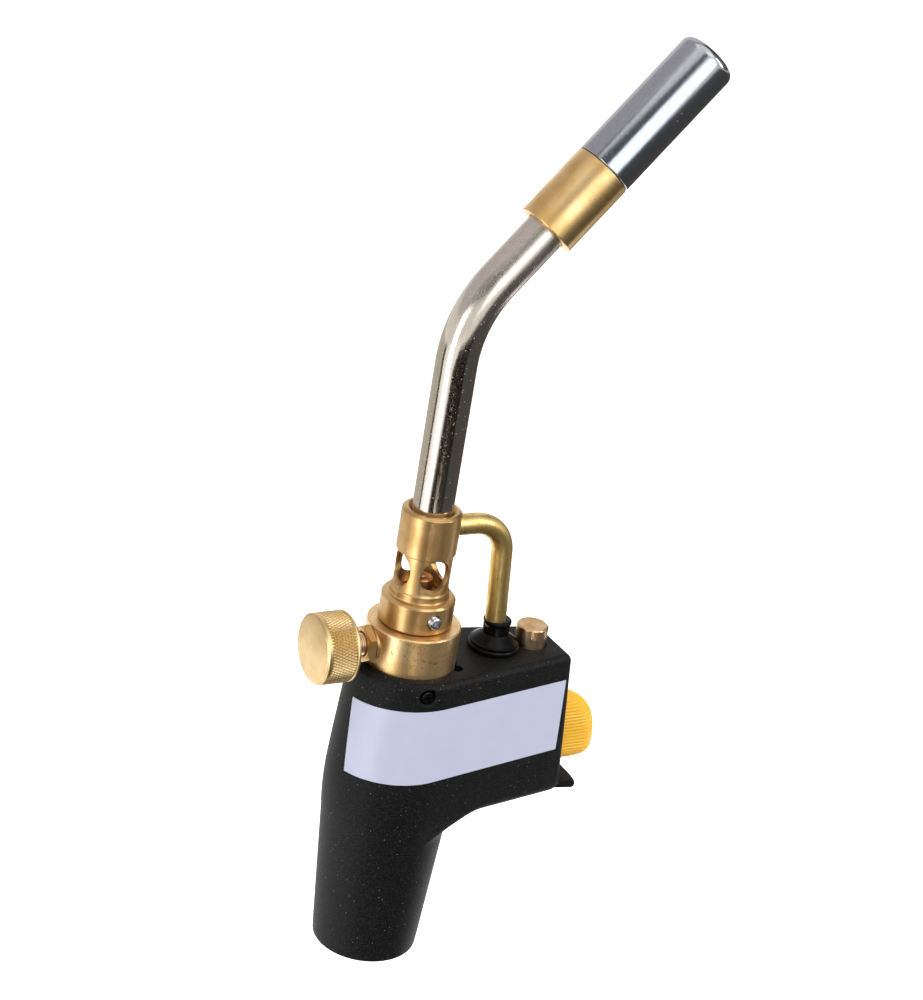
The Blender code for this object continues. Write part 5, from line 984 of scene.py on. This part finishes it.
def rib_tree():
    """Geometry Nodes: presses even round-bottomed grooves into a blank, shallower at its middle and its nose."""
    tree, add, given = geometry_tree("flank_grooves", Geometry="Geometry", Pitch="Float", Depth="Float",
                                     Low="Float", High="Float", Nose="Float", Edge="Float", Finish="Material")
    pitch, low, high, edge, nose = (given[name] for name in ("Pitch", "Low", "High", "Edge", "Nose"))
    ramp = partial(add, "MapRange", interpolation_type="SMOOTHSTEP")
    x, _, z = add("SeparateXYZ", add("GeometryNodeInputPosition")).node.outputs
    # Height along the skin, which turns through a quarter circle at the top and at the bottom
    top, foot = add("SUBTRACT", (high, edge)), add("ADD", (low, edge))
    height = add("SUBTRACT", (add("MINIMUM", (add("MAXIMUM", (z, foot)), top)), foot))
    for way, past in ((1.0, add("SUBTRACT", (z, top))), (-1.0, add("SUBTRACT", (foot, z)))):
        share = add("MINIMUM", (add("DIVIDE", (add("MAXIMUM", (past, 0.0)), edge)), 1.0))
        height = add("MULTIPLY_ADD", (add("MULTIPLY", (add("ARCSINE", share), way)), edge, height))
    wave = add("COSINE", add("MULTIPLY", (add("DIVIDE", (height, pitch)), math.tau)))
    groove = add("POWER", (add("MULTIPLY_ADD", (wave, 0.5, 0.5)), 2.0))
    above = ramp((z, low, add("ADD", (low, pitch))))
    below = ramp((z, high, add("SUBTRACT", (high, pitch))))
    off_nose = ramp((x, nose, add("SUBTRACT", (nose, add("MULTIPLY", (pitch, 7.0))))))
    middle = add("MULTIPLY", (add("ADD", (low, high)), 0.5))
    off = add("DIVIDE", (add("ABSOLUTE", add("SUBTRACT", (z, middle))), add("SUBTRACT", (high, middle))))
    strength = add("MULTIPLY_ADD", (off, 0.8, 0.3))
    normal = add("GeometryNodeInputNormal")
    flank = ramp((add("ABSOLUTE", add("SeparateXYZ", normal, "Y")), 0.25, 0.75))
    depth = given["Depth"]
    for factor in (groove, above, below, off_nose, strength, flank):
        depth = add("MULTIPLY", (depth, factor))
    inward = add("VectorMath", {0: normal, "Scale": add("MULTIPLY", (depth, -1.0))}, operation="SCALE")
    pressed = add("GeometryNodeSetPosition", {"Geometry": given["Geometry"], "Offset": inward})
    add("NodeGroupOutput", add("GeometryNodeSetMaterial", {"Geometry": pressed, "Material": given["Finish"]}))
    return tree


def trigger():
    edge = TRIGGER_EDGE
    low, high = TRIGGER_LOW + edge, TRIGGER_HIGH - edge
    heights = [low - edge * math.cos(QUARTER * row / 80) for row in range(80)]
    heights += [between(low, high, row / 100) for row in range(100)]
    heights += [high + edge * math.sin(QUARTER * row / 80) for row in range(81)]
    cap = grown(rib_tree(), skin([trigger_plan(z) for z in heights]), Pitch=RIB_PITCH, Depth=RIB_DEPTH,
                Low=TRIGGER_LOW, High=TRIGGER_HIGH, Nose=TRIGGER_CROWN, Edge=TRIGGER_EDGE, Finish=acetal)
    flange = block((FLANGE_BACK, -FLANGE_HALF, 67.8), (FLANGE_FRONT, FLANGE_HALF, 103.5))
    arm = block((46.5, -FLANGE_HALF, 100.5), (57.6, FLANGE_HALF, 103.5))
    return carve(carve(cap, flange, arm, operation="UNION"), block((49.6, -2.9, 99.3), (61.4, 2.9, 107)))


def lock_button():
    top = HEAD_TOP + 8.0
    return lathe([(0, top), (5.55, top), (6.1, top - 0.55), (6.1, 118.3), (2.1, 118.3), (2.1, 104.1), (0, 104.1)],
                 LOCK_AXIS, 96)


# ---- pieces: name, mesh, finish, solid, and where they differ slot, body and the angle that stays sharp ----

for piece in (
        ("moulded_housing", housing(), nylon, "housing", "housing_plastic", "torch_body", 28),
        ("bare_label_plate", label_plate(), vinyl, None, None, "torch_body", 40),
        ("turned_valve_body", valve_body(), valve_brass, "valve_body"),
        ("threaded_cylinder_socket", cylinder_socket(), connector_brass, "cylinder_socket"),
        ("gland_hex_nut", gland_nut(), gland_brass_painted_light, "gland_nut"),
        ("turned_control_stem", control_stem(), stem_brass_painted_light, "control_stem", "turned_brass", "control"),
        ("knurled_control_knob", control_knob(), knob_brass, "control_knob", "turned_brass", "control", 24),
        ("cross_head_screw", side_screw(), screw_steel_painted_shade, "housing_screw", "bright_steel"),
        ("turned_burner_connector", burner_connector(), connector_brass, "burner_connector"),
        ("socket_grub_screw", grub_screw(), screw_steel, "connector_grub_screw", "bright_steel"),
        ("turned_gas_jet", gas_jet(), jet_brass_painted_shade, "gas_jet"),
        ("bent_burn_tube", burn_tube(), tube_steel, "burn_tube", "tube_steel"),
        ("turned_tip_sleeve", tip_sleeve(), sleeve_brass, "tip_sleeve"),
        ("polished_flame_tube", flame_tube(), flame_steel, "flame_tube", "dark_steel"),
        ("ported_flame_holder", flame_holder(), sleeve_brass, "flame_holder"),
        ("bent_conduit", conduit(), conduit_brass, "conduit_tube"),
        ("moulded_grommet", grommet(), rubber, "conduit_grommet", "black_rubber"),
        ("ribbed_trigger", trigger(), acetal, "trigger", "trigger_plastic", "trigger", 40),
        ("turned_lock_button", lock_button(), lock_brass, "lock_button", "turned_brass", "lock")):
    finish_piece(*piece)

# Springs of hard drawn wire, as packed.
for name, joint, way, seat, travel in (
        ("trigger_spring", "trigger_slide", Vector((1, 0, 0)), 16.3, 6.0),
        ("valve_spring", "valve_slide", Vector((1, 0, 0)), -10.2, 6.0),
        ("lock_spring", "lock_slide", UP, 112.8, 4.0)):
    coil = finish_piece("wound_" + name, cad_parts[name].data.copy(), wire_steel, name, "spring_steel",
                        angle=60, unit=1)
    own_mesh(coil)

for name, finish in {
    "socket_seal": rubber, "inlet_pin": connector_brass, "inlet_filter": sintered, "stem_seal": rubber,
    "electrode_insulator": steatite, "ignition_electrode": screw_steel, "piezo_igniter": igniter_plastic,
    "piezo_plunger": screw_steel, "ignition_lead": silicone, "valve_plunger": screw_steel,
    "plunger_seal": rubber, "lock_washer": screw_steel,
}.items():
    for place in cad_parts[name].material_slots:
        place.link = "OBJECT"
        place.material = finish


# ---- stage, light and camera, in metres ----

FLOOR_LEVEL = -0.27
FLOOR_REACH = 6.0
CARD_STEPS = 24
AMBIENT = 0.45


def emptied(holder):
    """What adds nodes to a material or a world that starts with none."""
    holder.use_nodes = True
    holder.node_tree.nodes.clear()
    return partial(node, holder.node_tree)


def looked_at(add):
    """1 for the rays that show a thing or its mirror image, 0 for those that only gather light."""
    path = add("LightPath").node.outputs
    seen = path["Is Camera Ray"]
    for other in ("Is Glossy Ray", "Is Transmission Ray"):
        seen = add("MAXIMUM", (seen, path[other]))
    return seen


def stage_piece(name, points, faces, finish):
    mesh = bpy.data.meshes.new(name)
    mesh.from_pydata(points, [], faces)
    mesh.materials.append(finish)
    made = placed(name, mesh)
    return made


def make_floor():
    """Floor that the gas cylinder would stand on: diffuse for the light it gives back, and an even glow where
    it is looked at from above."""
    made = bpy.data.materials.new("pale_floor")
    add = emptied(made)
    diffuse = add("BsdfDiffuse", {"Color": (0.8, 0.8, 0.8, 1.0)})
    glowing = add("AddShader", (diffuse, add("Emission", {"Strength": 1.0})))
    shown = add("MixShader", (looked_at(add), diffuse, glowing))
    clear = add("MixShader", (add("NewGeometry", out="Backfacing"), shown, add("BsdfTransparent")))
    add("OutputMaterial", clear)
    reach, level = FLOOR_REACH, FLOOR_LEVEL
    stage_piece("studio_floor", [(-reach, -reach, level), (reach, -reach, level), (reach, reach, level),
                                 (-reach, reach, level)], [(0, 1, 2, 3)], made)


def make_card(name, first, last, low, high, tone, strength=1.0, slant=0.0, radius=0.8, flat=0.0):
    """Card that only shows in the torch's reflections: a band round it between two azimuths, its first edge
    moved on by slant degrees at the top, or where flat is given a floor cloth inwards to that radius."""
    points = []
    for step in range(CARD_STEPS + 1):
        for upper in (0, 1):
            angle = math.radians(between(first + slant * upper, last, step / CARD_STEPS))
            reach = flat if flat and upper else radius
            points.append((reach * math.sin(angle), -reach * math.cos(angle), high if upper else low))
    faces = [(at, at + 1, at + 3, at + 2) for at in range(0, CARD_STEPS * 2, 2)]
    made = bpy.data.materials.new(name)
    add = emptied(made)
    add("OutputMaterial", add("Emission", {"Color": srgb(tone), "Strength": strength}))
    card = stage_piece(name, points, faces, made)
    card.visible_camera = card.visible_diffuse = card.visible_shadow = card.visible_transmission = False


def make_lamp(name, azimuth, elevation, distance, width, height, energy, target=Vector((0.02, 0, 0.16))):
    angle, rise = math.radians(azimuth), math.radians(elevation)
    back = Vector((math.sin(angle) * math.cos(rise), -math.cos(angle) * math.cos(rise), math.sin(rise)))
    data = bpy.data.lights.new(name, "AREA")
    data.shape = "RECTANGLE"
    data.size, data.size_y, data.energy = width, height, energy
    lamp = placed(name, data)
    lamp.location = target + back * distance
    lamp.rotation_euler = (-back).to_track_quat("-Z", "Y").to_euler()
    lamp.visible_camera = False


def make_world():
    world = bpy.data.worlds.new("studio")
    bpy.context.scene.world = world
    add = emptied(world)
    strength = add("MapRange", (looked_at(add), 0.0, 1.0, AMBIENT, 1.0))
    add("OutputWorld", add("Background", {"Color": (1, 1, 1, 1), "Strength": strength}))


def make_camera():
    """The photograph's camera, fitted to its outlines: its right, up and back, and where it stood."""
    data = bpy.data.cameras.new("photo_camera")
    data.lens, data.sensor_width, data.sensor_fit = 84.785, 36, "AUTO"
    data.clip_start, data.clip_end = 0.01, 50
    camera = placed("photo_camera", data)
    right, up, back = (0.8682, -0.4721, 0.1527), (0.0692, 0.4200, 0.9049), (-0.4913, -0.7751, 0.3973)
    place = (-0.40739, -0.66082, 0.52441)
    camera.matrix_world = Matrix([(right[i], up[i], back[i], place[i]) for i in range(3)] + [(0, 0, 0, 1)])
    bpy.context.scene.camera = camera


make_floor()
# Cards: the dark room in front and beside, a grey wall and ceiling, and a softbox to the right of the camera
make_card("card_front", -64, 20, -0.262, 0.12, "#1E1A17", slant=31)
make_card("card_cloth", -62, 78, -0.264, -0.264, "#5A5249", flat=0.12)
make_card("card_glint", -27, -13, -0.262, -0.20, "#F0E8DC", 8.0, radius=0.78)
make_card("card_skirt", -13, 14, -0.262, -0.236, "#F0E8DC", 4.0, radius=0.78)
make_card("card_right", 20, 78, -0.262, 0.31, "#58585A")
make_card("card_far_right", 78, 130, -0.262, 0.31, "#5E5753")
make_card("card_left", -200, -116, -0.21, 0.16, "#D8D2C9")
make_card("card_line", -116, -104, -0.21, 0.16, "#2C2A26")
make_card("card_camera_top", -62, -19, 0.55, 2.0, "#5C6262")
make_card("card_shade", -92, -62, 0.50, 2.0, "#8C8A8E")
make_card("card_wall", -178, -92, 0.42, 2.0, "#D6D0D8")
make_card("card_ceiling", -180, 180, 2.0, 2.0, "#8E8880", flat=0.01)
make_card("card_tip", 56, 126, 0.36, 2.0, "#61615F")
make_card("card_softbox", -19, 19, 0.31, 0.84, "#F4F8FF", 2.9)
make_lamp("key_left", -72, 12, 1.1, 0.35, 1.3, 6)
make_lamp("fill_right", 60, 30, 1.5, 0.8, 0.8, 14)
make_lamp("top", -20, 75, 1.2, 1.3, 1.3, 6)
make_world()
make_camera()
bpy.context.scene.view_settings.view_transform = "Standard"
